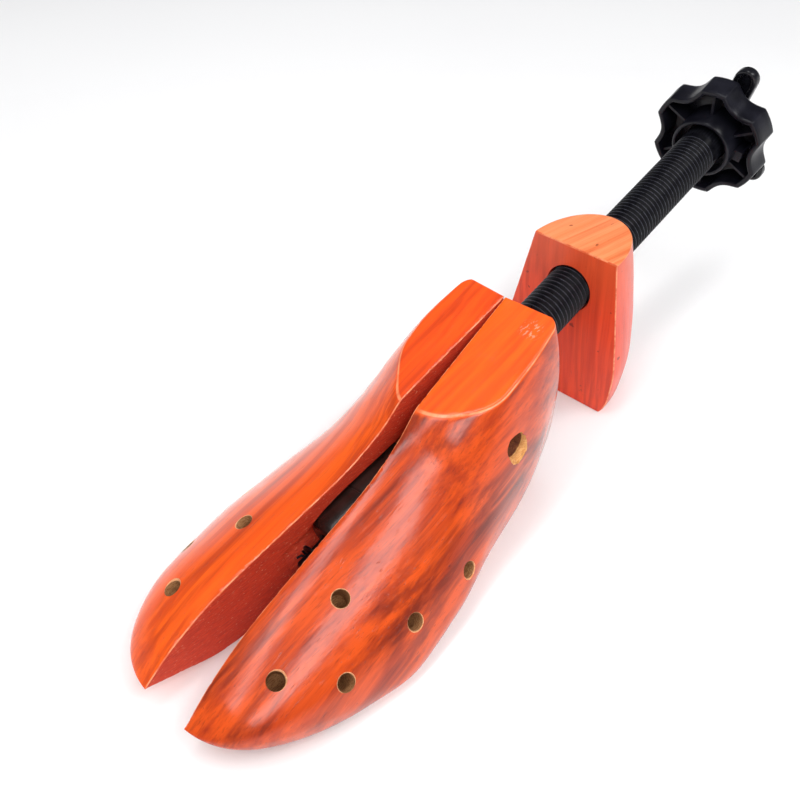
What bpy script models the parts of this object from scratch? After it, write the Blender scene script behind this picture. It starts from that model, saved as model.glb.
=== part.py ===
"""Two-way shoe stretcher tree: a split wooden last, a heel block and a double screw mechanism.

Frame: metres, +Z up, the toe points to -Y, the hand knob to +Y, and the floor is z = 0.
The origin is the centre of the footprint box. The shaft runs in the plane x = 0 and rises to the rear.
Along the shaft, a station is the distance from the last's rear edge, positive towards the knob.
"""

import math

import bmesh
import bpy
from mathutils import Matrix, Vector

# ---------------------------------------------------------------- driving dimensions
HINGE_Y = -0.0086           # the last's rear edge, where both halves rock
SHAFT_ANGLE = math.radians(12.25)
SHAFT_HEIGHT = 0.0460       # shaft axis above the floor at the last's rear edge
OPEN_ANGLE = math.radians(3.27)     # each half's swing at rest
CLOSED_GAP = 0.0003         # between the inner faces when the tree is closed

LAST_LENGTH = 0.1724
# distance from the toe and value there; the curves run smoothly through these points
LAST_WIDTH = [(0.0, 0.0), (0.005, 0.0164), (0.020, 0.0287), (0.045, 0.0382), (0.067, 0.0429),
              (0.090, 0.0420), (0.117, 0.0377), (0.145, 0.0353), (0.1724, 0.0285)]
LAST_CREST = [(0.0, 0.0125), (0.012, 0.0217), (0.030, 0.0305), (0.060, 0.0383), (0.090, 0.0457),
              (0.108, 0.0545), (0.117, 0.0624), (0.124, 0.0684), (0.138, 0.0830), (0.1724, 0.0998)]
LAST_WIDEST = [(0.0, 0.0124), (0.020, 0.0121), (0.045, 0.0074), (0.060, 0.0060), (0.090, 0.0115),
               (0.117, 0.0164), (0.135, 0.0227), (0.150, 0.0350), (0.1724, 0.0493)]
LAST_SOLE = [(0.0, 0.0122), (0.012, 0.0071), (0.030, 0.0006), (0.042, -0.0002), (0.1724, -0.0002)]
# how full the outline is above its widest point: the ankle is fuller on the right half
RIGHT_FULLNESS = [(0.0, 2.2), (0.100, 1.50), (0.126, 2.3), (0.150, 2.0), (0.1724, 2.1)]
LEFT_FULLNESS = [(0.0, 2.2), (0.100, 1.50), (0.126, 1.48), (0.150, 1.44), (0.1724, 1.46)]
LOWER_FULLNESS = [(0.0, 2.4), (0.010, 4.0), (0.060, 3.4), (0.117, 2.3), (0.1724, 3.3)]
LAST_STATIONS = [0.0005, 0.002, 0.005, 0.009, 0.014, 0.020, 0.027, 0.035, 0.045, 0.056, 0.068,
                 0.080, 0.092, 0.102, 0.110, 0.117, 0.121, 0.127, 0.135, 0.146, 0.158, 0.1645,
                 0.168, 0.1703, 0.1724]
SECTION_POINTS = 21
REAR_ROUNDING = 0.0050
TOP_FLAT_HEIGHT = 0.0791    # at the rear edge
TOP_FLAT_SLOPE = 0.30       # fall towards the toe

PEG_RADIUS = 0.0031
PEG_DEPTH = 0.011
# mouth on the surface (side, forward, up, in the half's own frame) and outward direction
PEG_HOLES = [((0.0170, -0.1476, 0.0254), (0.35, -0.25, 0.90)),
             ((0.0168, -0.1163, 0.0330), (0.38, -0.20, 0.90)),
             ((0.0321, -0.1321, 0.0190), (0.72, -0.15, 0.68)),
             ((0.0368, -0.1017, 0.0206), (0.80, -0.10, 0.60)),
             ((0.0372, -0.0730, 0.0193), (0.93, 0.05, 0.36))]

TUBE_RADIUS = 0.0100
THREAD_PITCH = 0.0023
THREAD_DEPTH = 0.0009
THREAD_START = -0.0030
THREAD_TURNS = 69
THREAD_STEPS = 12
SHANK_RADIUS = 0.0096
TUBE_FRONT = -0.0130
TUBE_REAR = 0.1752
TUBE_BORE = 0.0040

ROD_RADIUS = 0.0030
ROD_FRONT = -0.1130
ROD_REAR = 0.1932

EXPANDER_RADIUS = 0.0095
EXPANDER_NOSE = -0.1000     # station of the nose at rest
EXPANDER_LENGTH = 0.0430
EXPANDER_CHAMFER = 0.0030
WEDGE_RATE = 3.567          # radians of swing per metre of expander travel
WEDGE_START = 0.0810        # distance ahead of the hinge where the nose edge starts to wedge
GROOVE_CLEARANCE = 0.00035

TIE_Y = -0.0375             # from the hinge
TIE_HEIGHT = 0.0498
TIE_RADIUS = 0.0020
TIE_HOLE_RADIUS = 0.0048
TIE_HOLE_Y = -0.0380        # hole centre in the half's own frame, mid-way through the swing
TIE_SHOULDER = 0.0100

COLLAR_RADIUS = 0.0130
COLLAR_FRONT = -0.0208
COLLAR_REAR = -0.0040
FLANGE_RADIUS = 0.0150
TONGUE_FRONT = -0.0402
TONGUE_HALF_WIDTH = 0.0040
TONGUE_LOW = -0.0056
TONGUE_HIGH = 0.0163

KNOB_RADIUS = 0.0282
KNOB_NOTCH = 0.0045
KNOB_LOBES = 6
KNOB_NOTCH_HALF_ANGLE = math.radians(14)
KNOB_FRONT = 0.1655
KNOB_REAR = 0.1793
KNOB_FLOOR = 0.1763
KNOB_WALL = 0.0026
HUB_RADIUS = 0.0145
HUB_FRONT = 0.1605
BOSS_ANGLE = math.radians(-8)
SET_SCREW_STATION = 0.1712

KEY_ARMS = 3
KEY_FIRST_ARM = math.radians(75)
KEY_TIP_RADIUS = 0.0325
KEY_ARM_HALF_WIDTH = 0.0055
KEY_FRONT = 0.1812
KEY_REAR = 0.1862
KEY_HUB_RADIUS = 0.0085
KEY_HUB_FRONT = 0.1806
KEY_HUB_REAR = 0.1915
KEY_PIN_STATION = 0.1888

BLOCK_FRONT = 0.04895       # from the hinge, along the floor
BLOCK_HEIGHT = 0.0769
# height above the floor, half width, depth of the rounded back
BLOCK_SECTIONS = [(0.0, 0.0257, 0.0290), (0.003, 0.0274, 0.0322), (0.008, 0.0287, 0.0362),
                  (0.020, 0.0291, 0.0403), (0.035, 0.0272, 0.0408), (0.050, 0.0245, 0.0388),
                  (0.065, 0.0218, 0.0354), (BLOCK_HEIGHT, 0.0196, 0.0313)]
BLOCK_BORE = 0.0107
NUT_FRONT = 0.0603
NUT_REAR = 0.0763
NUT_RADIUS = 0.0117

ROUND_STEPS = 24
MERGE = 0.00001
FIT_GAP = 0.0003


# ---------------------------------------------------------------- scene and helpers
for old in list(bpy.data.objects):
    bpy.data.objects.remove(old, do_unlink=True)

PARTS = bpy.data.collections.new("shoe_tree")
CUTTERS = bpy.data.collections.new("shoe_tree_cutters")
bpy.context.scene.collection.children.link(PARTS)
bpy.context.scene.collection.children.link(CUTTERS)


def material(name, colour, roughness, metallic=0.0):
    """A Principled material of one colour."""
    made = bpy.data.materials.new(name)
    made.use_nodes = True
    shader = made.node_tree.nodes["Principled BSDF"]
    shader.inputs["Base Color"].default_value = (*colour, 1.0)
    shader.inputs["Roughness"].default_value = roughness
    shader.inputs["Metallic"].default_value = metallic
    made.diffuse_color = (*colour, 1.0)
    return made


def stained_wood(name):
    return material(name, (0.66, 0.12, 0.025), 0.32)


def black_plastic(name):
    return material(name, (0.012, 0.012, 0.014), 0.42)


def black_steel(name):
    return material(name, (0.02, 0.02, 0.022), 0.38, 0.6)


def bright_steel(name):
    return material(name, (0.45, 0.45, 0.46), 0.35, 1.0)


def place(piece, parent=None, finish=None, cutter=False):
    """Links a piece to its collection, under its parent and with its material."""
    (CUTTERS if cutter else PARTS).objects.link(piece)
    piece.parent = parent
    if finish:
        piece.data.materials.append(finish)
    if cutter:
        piece.hide_render = True
        piece.display_type = "WIRE"
    return piece


def mesh_piece(name, build, parent=None, finish=None, cutter=False):
    """An object from a bmesh that build fills in, with its faces turned outwards."""
    mesh = bpy.data.meshes.new(name)
    work = bmesh.new()
    build(work)
    bmesh.ops.recalc_face_normals(work, faces=work.faces)
    work.to_mesh(mesh)
    work.free()
    return place(bpy.data.objects.new(name, mesh), parent, finish, cutter)


def turned(name, profile, parent, finish=None, cutter=False, steps=ROUND_STEPS):
    """A profile of (radius, station) turned about the parent's Z, open only where it meets the axis."""
    mesh = bpy.data.meshes.new(name)
    points = [(radius, 0.0, station) for radius, station in profile]
    edges = [(i, i + 1) for i in range(len(points) - 1)]
    if profile[0][0] > 0.0:
        edges.append((len(points) - 1, 0))
    mesh.from_pydata(points, edges, [])
    piece = place(bpy.data.objects.new(name, mesh), parent, finish, cutter)
    screw = piece.modifiers.new("turn", "SCREW")
    screw.axis = "Z"
    screw.angle = math.tau
    screw.steps = steps
    screw.render_steps = steps
    screw.use_merge_vertices = True
    screw.merge_threshold = MERGE
    return piece


def ring(name, inner, outer, front, rear, parent, finish, steps=ROUND_STEPS):
    """A plain washer or sleeve between two stations."""
    profile = [(outer, rear), (outer, front), (inner, front), (inner, rear)]
    return turned(name, profile, parent, finish, steps=steps)


def rod_between(name, start, end, radius, parent, finish=None, cutter=False, steps=16):
    """A straight round bar between two points of the parent's frame."""
    start = Vector(start)
    end = Vector(end)

    def build(work):
        bmesh.ops.create_cone(work, cap_ends=True, segments=steps, radius1=radius,
                              radius2=radius, depth=(end - start).length)

    piece = mesh_piece(name, build, parent, finish, cutter)
    piece.location = (start + end) / 2
    piece.rotation_euler = (end - start).to_track_quat("Z", "Y").to_euler()
    return piece


def block_between(name, low, high, parent, finish=None, cutter=False):
    """A box between two corners of the parent's frame."""
    low = Vector(low)
    high = Vector(high)

    def build(work):
        bmesh.ops.create_cube(work, size=1.0)
        bmesh.ops.transform(work, verts=work.verts, matrix=Matrix.Diagonal((*(high - low), 1.0)))
        bmesh.ops.translate(work, verts=work.verts, vec=(low + high) / 2)

    return mesh_piece(name, build, parent, finish, cutter)


def loft(work, loops, cap_first=True, cap_last=True, around=False):
    """Faces between closed loops of equal length, capped at both ends or joined all around."""
    rows = [[work.verts.new(point) for point in loop] for loop in loops]
    pairs = list(zip(rows, rows[1:]))
    if around:
        pairs.append((rows[-1], rows[0]))
    count = len(rows[0])
    for row, following in pairs:
        for i in range(count):
            j = (i + 1) % count
            work.faces.new((row[i], row[j], following[j], following[i]))
    if cap_first and not around:
        work.faces.new(rows[0])
    if cap_last and not around:
        work.faces.new(rows[-1])
    return rows


def combine(piece, other, operation="DIFFERENCE"):
    """Cuts or joins another object into a piece with an exact Boolean."""
    boolean = piece.modifiers.new(other.name, "BOOLEAN")
    boolean.operation = operation
    boolean.solver = "EXACT"
    boolean.object = other


def circle(radius, station, steps, centre_x=0.0):
    """Points of a circle square to the shaft."""
    turn = math.tau / steps
    return [(centre_x + radius * math.cos(i * turn), radius * math.sin(i * turn), station)
            for i in range(steps)]


def smooth_through(points, x):
    """A curve through the points that never overshoots them."""
    xs = [p[0] for p in points]
    ys = [p[1] for p in points]
    x = min(max(x, xs[0]), xs[-1])
    slopes = [(ys[i + 1] - ys[i]) / (xs[i + 1] - xs[i]) for i in range(len(xs) - 1)]
    tangents = [slopes[0]]
    for before, after in zip(slopes, slopes[1:]):
        same_way = before * after > 0.0
        tangents.append(2.0 * before * after / (before + after) if same_way else 0.0)
    tangents.append(slopes[-1])
    i = max(k for k in range(len(xs) - 1) if xs[k] <= x)
    width = xs[i + 1] - xs[i]
    t = (x - xs[i]) / width
    start = (1 + 2 * t) * (1 - t) ** 2 * ys[i] + t * (1 - t) ** 2 * width * tangents[i]
    end = t * t * (3 - 2 * t) * ys[i + 1] + t * t * (t - 1) * width * tangents[i + 1]
    return start + end


def shaft_frame(name, parent=None, location=(0.0, 0.0, 0.0)):
    """An empty whose Z runs along the shaft to the rear; its -Y is upwards."""
    empty = bpy.data.objects.new(name, None)
    empty.empty_display_size = 0.02
    empty.location = location
    empty.rotation_euler = (SHAFT_ANGLE - math.pi / 2, 0.0, 0.0)
    empty.parent = parent
    PARTS.objects.link(empty)
    return empty


SHAFT = shaft_frame("shaft_axis", location=(0.0, HINGE_Y, SHAFT_HEIGHT))


# ---------------------------------------------------------------- the wooden last
def last_section(distance, side):
    """The half's outline square to its length, from the sole's inner edge up over the outside."""
    root_points = [(math.sqrt(d), w) for d, w in LAST_WIDTH]
    width = smooth_through(root_points, math.sqrt(distance))
    from_rear = LAST_LENGTH - distance
    if from_rear < REAR_ROUNDING:
        inset = REAR_ROUNDING - from_rear
        width -= REAR_ROUNDING - math.sqrt(REAR_ROUNDING ** 2 - inset ** 2)
    crest = smooth_through(LAST_CREST, distance)
    widest = smooth_through(LAST_WIDEST, distance)
    sole = smooth_through(LAST_SOLE, distance)
    upper = smooth_through(RIGHT_FULLNESS if side > 0 else LEFT_FULLNESS, distance)
    lower = smooth_through(LOWER_FULLNESS, distance)
    outline = []
    for i in range(SECTION_POINTS):
        turn = math.pi * i / (SECTION_POINTS - 1) - math.pi / 2
        fullness, reach = (upper, crest - widest) if turn > 0 else (lower, widest - sole)
        out = width * math.cos(turn) ** (2 / fullness) if 0 < i < SECTION_POINTS - 1 else 0.0
        up = reach * abs(math.sin(turn)) ** (2 / fullness)
        outline.append((side * out, -from_rear, max(widest + math.copysign(up, turn), 0.0)))
    return outline


def groove_depth(ahead):
    """Depth of the wedge groove in a half: the swing stays in step with the expander's travel."""
    rise = WEDGE_RATE * math.cos(SHAFT_ANGLE) * ahead * (ahead - WEDGE_START)
    return EXPANDER_RADIUS - max(rise, 0.0) + GROOVE_CLEARANCE


def groove_cutter(name, parent, side):
    """A bar as wide as the expander that leaves the half gradually towards the toe."""
    radius = EXPANDER_RADIUS + GROOVE_CLEARANCE
    stations = [0.0390, WEDGE_START, 0.0870, 0.0925, 0.0975, 0.1020, 0.1055, 0.1080]

    def build(work):
        loft(work, [circle(radius, -ahead, ROUND_STEPS, side * (groove_depth(ahead) - radius))
                    for ahead in stations])

    return mesh_piece(name, build, parent, cutter=True)


def last_half(name, side):
    """One half of the last, hinged on its rear inner edge, with all its holes and pockets."""
    def build(work):
        rows = loft(work, [last_section(d, side) for d in LAST_STATIONS], cap_first=False)
        tip = work.verts.new((0.0, -LAST_LENGTH, LAST_SOLE[0][1]))
        for i in range(SECTION_POINTS):
            work.faces.new((rows[0][i], rows[0][(i + 1) % SECTION_POINTS], tip))
        sole = [face for face in work.faces if all(vert.co.z < 1e-7 for vert in face.verts)]
        bmesh.ops.dissolve_faces(work, faces=sole, use_verts=True)

    half = mesh_piece(name, build, finish=stained_wood(name))
    half.location = (side * CLOSED_GAP / 2, HINGE_Y, 0.0)
    half.rotation_euler = (0.0, 0.0, side * OPEN_ANGLE)

    top = block_between(name + "_top_cut", (-0.06, -0.08, 0.0), (0.06, 0.03, 0.06), half, cutter=True)
    top.location = (0.0, 0.0, TOP_FLAT_HEIGHT)
    top.rotation_euler = (math.atan(TOP_FLAT_SLOPE), 0.0, 0.0)
    combine(half, top)

    centre = (-side * CLOSED_GAP / 2, 0.0, SHAFT_HEIGHT)
    axis = shaft_frame(name + "_shaft_axis", half, centre)
    socket = [(0.0, 0.0200), (0.0106, 0.0200), (0.0106, -0.0036), (0.0134, -0.0036),
              (0.0134, -0.0136), (0.0154, -0.0136), (0.0154, -0.0190), (0.0134, -0.0190),
              (0.0134, -0.0225), (0.0, -0.0225)]
    combine(half, turned(name + "_socket_cut", socket, axis, cutter=True, steps=32))
    pocket_width = TONGUE_HALF_WIDTH + 0.00035
    pocket = block_between(name + "_tongue_cut",
                           (-pocket_width, -TONGUE_HIGH - 0.0008, TONGUE_FRONT - 0.0010),
                           (pocket_width, -TONGUE_LOW + 0.0008, -0.0187), axis, cutter=True)
    combine(half, pocket)
    combine(half, groove_cutter(name + "_groove_cut", axis, side))
    tip_room = [(0.0, -0.0990), (0.0060, -0.0990), (0.0060, -0.1150), (0.0, -0.1150)]
    combine(half, turned(name + "_tip_cut", tip_room, axis, cutter=True))

    wide = rod_between(name + "_tie_wide_cut", (side * TIE_SHOULDER, TIE_HOLE_Y, TIE_HEIGHT),
                       (side * 0.05, TIE_HOLE_Y, TIE_HEIGHT), TIE_HOLE_RADIUS, half,
                       cutter=True, steps=20)
    combine(half, wide)
    narrow = rod_between(name + "_tie_narrow_cut", (0.0, TIE_HOLE_Y, TIE_HEIGHT),
                         (side * 0.02, TIE_HOLE_Y, TIE_HEIGHT), 0.0034, half, cutter=True)
    combine(half, narrow)
    for number, (mouth, outward) in enumerate(PEG_HOLES, 1):
        mouth = Vector((side * mouth[0], mouth[1], mouth[2]))
        outward = Vector((side * outward[0], outward[1], outward[2])).normalized()
        hole = rod_between(f"{name}_peg_cut_{number}", mouth - outward * PEG_DEPTH,
                           mouth + outward * 0.006, PEG_RADIUS, half, cutter=True, steps=12)
        combine(half, hole)
    return half


last_half("last_half_right", 1)
last_half("last_half_left", -1)


# ---------------------------------------------------------------- the heel block and its nut
def block_outline(height, half_width, depth):
    """A D shape: a flat front and a half-round back."""
    steps = 20
    return [(half_width * math.cos(math.pi * i / steps), depth * math.sin(math.pi * i / steps), height)
            for i in range(steps + 1)]


heel_block = mesh_piece("heel_block",
                        lambda work: loft(work, [block_outline(*row) for row in BLOCK_SECTIONS]),
                        finish=stained_wood("heel_block"))
heel_block.location = (0.0, HINGE_Y + BLOCK_FRONT, 0.0)
block_bore = [(0.0, 0.1100), (NUT_RADIUS + 0.00035, 0.1100), (NUT_RADIUS + 0.00035, NUT_FRONT - FIT_GAP),
              (BLOCK_BORE, NUT_FRONT - FIT_GAP), (BLOCK_BORE, 0.0350), (0.0, 0.0350)]
combine(heel_block, turned("heel_block_bore_cut", block_bore, SHAFT, cutter=True, steps=32))
ring("heel_nut", TUBE_RADIUS + 0.00035, NUT_RADIUS, NUT_FRONT, NUT_REAR, SHAFT,
     black_plastic("heel_nut"), steps=32)


# ---------------------------------------------------------------- the threaded tube
def helix_points(radius, first_station, count):
    """Points on a right-handed helix of the thread's pitch."""
    turn = math.tau / THREAD_STEPS
    rise = THREAD_PITCH / THREAD_STEPS
    return [(radius * math.cos(-k * turn), radius * math.sin(-k * turn), first_station + k * rise)
            for k in range(count)]


def tube_circle(radius, station):
    turn = math.tau / THREAD_STEPS
    return [(radius * math.cos(-k * turn), radius * math.sin(-k * turn), station)
            for k in range(THREAD_STEPS)]


def build_tube(work):
    """One helical ridge between two plain ends, with a bore all the way through."""
    steps = THREAD_STEPS
    last = steps * THREAD_TURNS
    roots = [work.verts.new(p) for p in
             helix_points(TUBE_RADIUS - THREAD_DEPTH, THREAD_START, last + steps + 1)]
    crests = [work.verts.new(p) for p in
              helix_points(TUBE_RADIUS, THREAD_START + THREAD_PITCH / 2, last + 1)]
    for k in range(last):
        work.faces.new((roots[k], roots[k + 1], crests[k + 1], crests[k]))
        work.faces.new((crests[k], crests[k + 1], roots[k + 1 + steps], roots[k + steps]))
    thread_end = THREAD_START + THREAD_PITCH * (THREAD_TURNS + 1) + 0.0004
    ends = [(SHANK_RADIUS, THREAD_START - 0.0004), (SHANK_RADIUS, -0.0090), (0.0088, -0.0090),
            (0.0088, -0.0108), (SHANK_RADIUS, -0.0108), (SHANK_RADIUS, TUBE_FRONT),
            (TUBE_BORE, TUBE_FRONT), (TUBE_BORE, TUBE_REAR), (0.0099, TUBE_REAR),
            (0.0099, thread_end)]
    rows = loft(work, [tube_circle(*end) for end in ends], cap_first=False, cap_last=False)
    first_row, last_row = rows[0], rows[-1]
    for k in range(steps):
        after = (k + 1) % steps
        work.faces.new((first_row[k], first_row[after], roots[k + 1], roots[k]))
        work.faces.new((last_row[k], last_row[after], roots[last + k + 1], roots[last + k]))
    work.faces.new((first_row[0], roots[0], crests[0], roots[steps]))
    work.faces.new((last_row[0], roots[last], crests[last], roots[last + steps]))


threaded_tube = mesh_piece("threaded_tube", build_tube, SHAFT, black_steel("threaded_tube"))
ring("tube_retaining_ring", 0.0091, 0.0120, -0.0106, -0.0093, SHAFT,
     bright_steel("tube_retaining_ring"))


# ---------------------------------------------------------------- the socket between the halves
collar_profile = [(COLLAR_RADIUS, COLLAR_REAR), (COLLAR_RADIUS, -0.0140), (FLANGE_RADIUS, -0.0140),
                  (FLANGE_RADIUS, -0.0172), (COLLAR_RADIUS, -0.0172), (COLLAR_RADIUS, COLLAR_FRONT),
                  (0.0034, COLLAR_FRONT), (0.0034, -0.0190), (0.0072, -0.0190), (0.0072, -0.0134),
                  (0.0124, -0.0134), (0.0124, COLLAR_REAR)]
pivot_collar = turned("pivot_collar", collar_profile, SHAFT, black_plastic("pivot_collar"), steps=32)
tongue = block_between("pivot_collar_tongue", (-TONGUE_HALF_WIDTH, -TONGUE_HIGH, TONGUE_FRONT),
                       (TONGUE_HALF_WIDTH, -TONGUE_LOW, COLLAR_FRONT + 0.0010), SHAFT, cutter=True)
combine(pivot_collar, tongue, "UNION")
combine(pivot_collar, rod_between("pivot_collar_rod_cut", (0.0, 0.0, -0.0180), (0.0, 0.0, -0.0430),
                                  0.0037, SHAFT, cutter=True, steps=20))
TIE_CENTRE = Vector((0.0, HINGE_Y + TIE_Y, TIE_HEIGHT))
combine(pivot_collar, rod_between("pivot_collar_tie_cut", TIE_CENTRE - Vector((0.01, 0.0, 0.0)),
                                  TIE_CENTRE + Vector((0.01, 0.0, 0.0)), 0.0023, None, cutter=True))
ring("collar_bush", 0.0099, 0.0121, -0.0090, -0.0043, SHAFT, black_plastic("collar_bush"))


# ---------------------------------------------------------------- the tie bolt across the halves
TIE = bpy.data.objects.new("tie_axis", None)
TIE.empty_display_size = 0.02
TIE.location = TIE_CENTRE
TIE.rotation_euler = (0.0, math.pi / 2, 0.0)
PARTS.objects.link(TIE)

bolt_profile = [(0.0, 0.0212), (TIE_RADIUS, 0.0212), (TIE_RADIUS, -0.0184), (0.0034, -0.0184),
                (0.0034, -0.0208), (0.0026, -0.0216), (0.0, -0.0216)]
turned("tie_bolt", bolt_profile, TIE, bright_steel("tie_bolt"))
nut_profile = [(0.0036, 0.0208), (0.0036, 0.0184), (0.0023, 0.0184), (0.0023, 0.0208)]
turned("tie_bolt_nut", nut_profile, TIE, bright_steel("tie_bolt_nut"), steps=6)


def tie_spring(name, side):
    """A short compression spring round the bolt."""
    turns, per_turn = 3.5, 12
    count = int(turns * per_turn) + 1
    up = Vector((0.0, 0.0, 1.0))

    def build(work):
        rows = []
        for k in range(count):
            angle = math.tau * k / per_turn
            along = side * (0.0139 + 0.0028 * k / (count - 1))
            outward = Vector((math.cos(angle), math.sin(angle), 0.0))
            wire = [math.tau * i / 6 for i in range(6)]
            centre = 0.0030 * outward + along * up
            rows.append([centre + 0.00045 * (math.cos(a) * outward + math.sin(a) * up) for a in wire])
        loft(work, rows)
        bmesh.ops.triangulate(work, faces=work.faces)

    return mesh_piece(name, build, TIE, bright_steel(name))


for word, side in (("right", 1), ("left", -1)):
    near, far = sorted((side * 0.0173, side * 0.0181))
    ring(f"tie_washer_{word}", 0.0023, 0.0038, near, far, TIE, bright_steel(f"tie_washer_{word}"))
    tie_spring(f"tie_spring_{word}", side)


# ---------------------------------------------------------------- the star knob
def lobed_radius(angle, inset=0.0):
    """Wide round lobes between narrow scallops."""
    pitch = math.tau / KNOB_LOBES
    from_notch = abs((angle + pitch / 2) % pitch - pitch / 2)
    reach = min(from_notch / KNOB_NOTCH_HALF_ANGLE, 1.0)
    return KNOB_RADIUS - KNOB_NOTCH * (1 + math.cos(math.pi * reach)) / 2 - inset


KNOB_STEPS = 60


def knob_loop(station, inset=None, radius=None):
    """A lobed loop, or a round one where a radius is given."""
    points = []
    for k in range(KNOB_STEPS):
        angle = math.tau * k / KNOB_STEPS
        reach = radius if radius else lobed_radius(angle, inset)
        points.append((reach * math.cos(angle), -reach * math.sin(angle), station))
    return points


def build_knob(work):
    """A cup open to the front, with a deep hub that takes the tube."""
    loft(work, [knob_loop(KNOB_REAR, radius=0.0036), knob_loop(KNOB_REAR, 0.0022),
                knob_loop(KNOB_REAR - 0.0006, 0.0008), knob_loop(KNOB_REAR - 0.0020, 0.0),
                knob_loop(KNOB_FRONT, 0.0003), knob_loop(KNOB_FRONT, KNOB_WALL),
                knob_loop(KNOB_FLOOR, KNOB_WALL + 0.0006), knob_loop(KNOB_FLOOR, radius=HUB_RADIUS),
                knob_loop(HUB_FRONT, radius=HUB_RADIUS), knob_loop(HUB_FRONT, radius=0.0128),
                knob_loop(0.1680, radius=0.0126), knob_loop(0.1680, radius=0.0103),
                knob_loop(0.1758, radius=0.0103), knob_loop(0.1758, radius=0.0036)], around=True)


star_knob = mesh_piece("star_knob", build_knob, SHAFT, black_plastic("star_knob"))


def radial_frame(name, angle, station):
    """An empty on the shaft whose X points outwards at an angle from the right, anticlockwise."""
    empty = bpy.data.objects.new(name, None)
    empty.empty_display_size = 0.01
    empty.parent = SHAFT
    empty.location = (0.0, 0.0, station)
    empty.rotation_euler = (0.0, 0.0, -angle)
    PARTS.objects.link(empty)
    return empty


for rib in range(KNOB_LOBES):
    spoke = radial_frame(f"knob_rib_axis_{rib + 1}", math.tau * (rib + 0.5) / KNOB_LOBES, 0.0)
    combine(star_knob, block_between(f"knob_rib_{rib + 1}", (0.0140, -0.0009, 0.1675),
                                     (KNOB_RADIUS - 0.0015, 0.0009, KNOB_FLOOR + 0.0008), spoke,
                                     cutter=True), "UNION")
screw_axis = radial_frame("set_screw_axis", BOSS_ANGLE, SET_SCREW_STATION)
combine(star_knob, block_between("knob_boss", (0.0138, -0.0027, -0.0040), (0.0182, 0.0027, 0.0062),
                                 screw_axis, cutter=True), "UNION")
combine(star_knob, rod_between("knob_screw_cut", (0.0080, 0.0, 0.0), (0.0200, 0.0, 0.0), 0.0018,
                               screw_axis, cutter=True, steps=12))
combine(threaded_tube, rod_between("tube_screw_cut", (0.0062, 0.0, 0.0), (0.0120, 0.0, 0.0), 0.0018,
                                   screw_axis, cutter=True, steps=12))
rod_between("knob_set_screw", (0.0066, 0.0, 0.0), (0.0176, 0.0, 0.0), 0.0015, screw_axis,
            bright_steel("knob_set_screw"), steps=12)


# ---------------------------------------------------------------- the rod, the key and the expander
inner_rod = turned("inner_rod", [(0.0, ROD_REAR), (ROD_RADIUS - 0.0005, ROD_REAR),
                                 (ROD_RADIUS, ROD_REAR - 0.0005), (ROD_RADIUS, ROD_FRONT + 0.0006),
                                 (ROD_RADIUS - 0.0006, ROD_FRONT), (0.0, ROD_FRONT)],
                   SHAFT, black_steel("inner_rod"), steps=20)
ring("rod_stop_ring", ROD_RADIUS + FIT_GAP, 0.0067, -0.0184, -0.0140, SHAFT,
     bright_steel("rod_stop_ring"))
ring("thrust_washer", 0.0036, 0.0084, KNOB_REAR + FIT_GAP, KNOB_REAR + 0.0010, SHAFT,
     bright_steel("thrust_washer"))


def key_outline(station, inset):
    """Three straight round-ended arms joined by concave fillets."""
    half_width = KEY_ARM_HALF_WIDTH - inset
    tip_centre = KEY_TIP_RADIUS - KEY_ARM_HALF_WIDTH
    points = []
    for arm in range(KEY_ARMS):
        heading = KEY_FIRST_ARM + math.tau * arm / KEY_ARMS
        outward = Vector((math.cos(heading), math.sin(heading)))
        for k in range(9):
            turn = heading - math.pi / 2 + math.pi * k / 8
            tip = outward * tip_centre + Vector((math.cos(turn), math.sin(turn))) * half_width
            points.append((tip.x, -tip.y, station))
        valley = heading + math.pi / KEY_ARMS
        fillet_radius = 0.0095
        from_axis = (half_width + fillet_radius + inset) / math.sin(math.pi / KEY_ARMS)
        centre = Vector((math.cos(valley), math.sin(valley))) * from_axis
        spread = math.pi / 2 - math.pi / KEY_ARMS
        for k in range(5):
            turn = valley + math.pi + spread * (1 - k / 2)
            bend = centre + Vector((math.cos(turn), math.sin(turn))) * (fillet_radius + inset)
            points.append((bend.x, -bend.y, station))
    return points


def build_key(work):
    """A flat three-armed plate with a raised rim and a recessed web on both sides."""
    loft(work, [key_outline(KEY_REAR - 0.0014, 0.0027), key_outline(KEY_REAR, 0.0022),
                key_outline(KEY_REAR, 0.0008), key_outline(KEY_REAR - 0.0010, 0.0),
                key_outline(KEY_FRONT + 0.0010, 0.0), key_outline(KEY_FRONT, 0.0008),
                key_outline(KEY_FRONT, 0.0022), key_outline(KEY_FRONT + 0.0014, 0.0027)])


wing_key = mesh_piece("wing_key", build_key, SHAFT, black_plastic("wing_key"))
combine(wing_key, turned("wing_key_hub", [(0.0, KEY_HUB_REAR), (KEY_HUB_RADIUS - 0.0008, KEY_HUB_REAR),
                                          (KEY_HUB_RADIUS, KEY_HUB_REAR - 0.0008),
                                          (KEY_HUB_RADIUS, KEY_HUB_FRONT), (0.0, KEY_HUB_FRONT)],
                         SHAFT, cutter=True), "UNION")
combine(wing_key, rod_between("wing_key_bore_cut", (0.0, 0.0, 0.1790), (0.0, 0.0, 0.1960),
                              ROD_RADIUS + 0.00035, SHAFT, cutter=True, steps=20))
pin_axis = radial_frame("key_pin_axis", KEY_FIRST_ARM + math.pi / 2, KEY_PIN_STATION)
for piece in (wing_key, inner_rod):
    combine(piece, rod_between(piece.name + "_pin_cut", (-0.012, 0.0, 0.0), (0.012, 0.0, 0.0),
                               0.0014, pin_axis, cutter=True, steps=12))
rod_between("wing_key_pin", (-0.0078, 0.0, 0.0), (0.0078, 0.0, 0.0), 0.0011, pin_axis,
            bright_steel("wing_key_pin"), steps=12)

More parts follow.
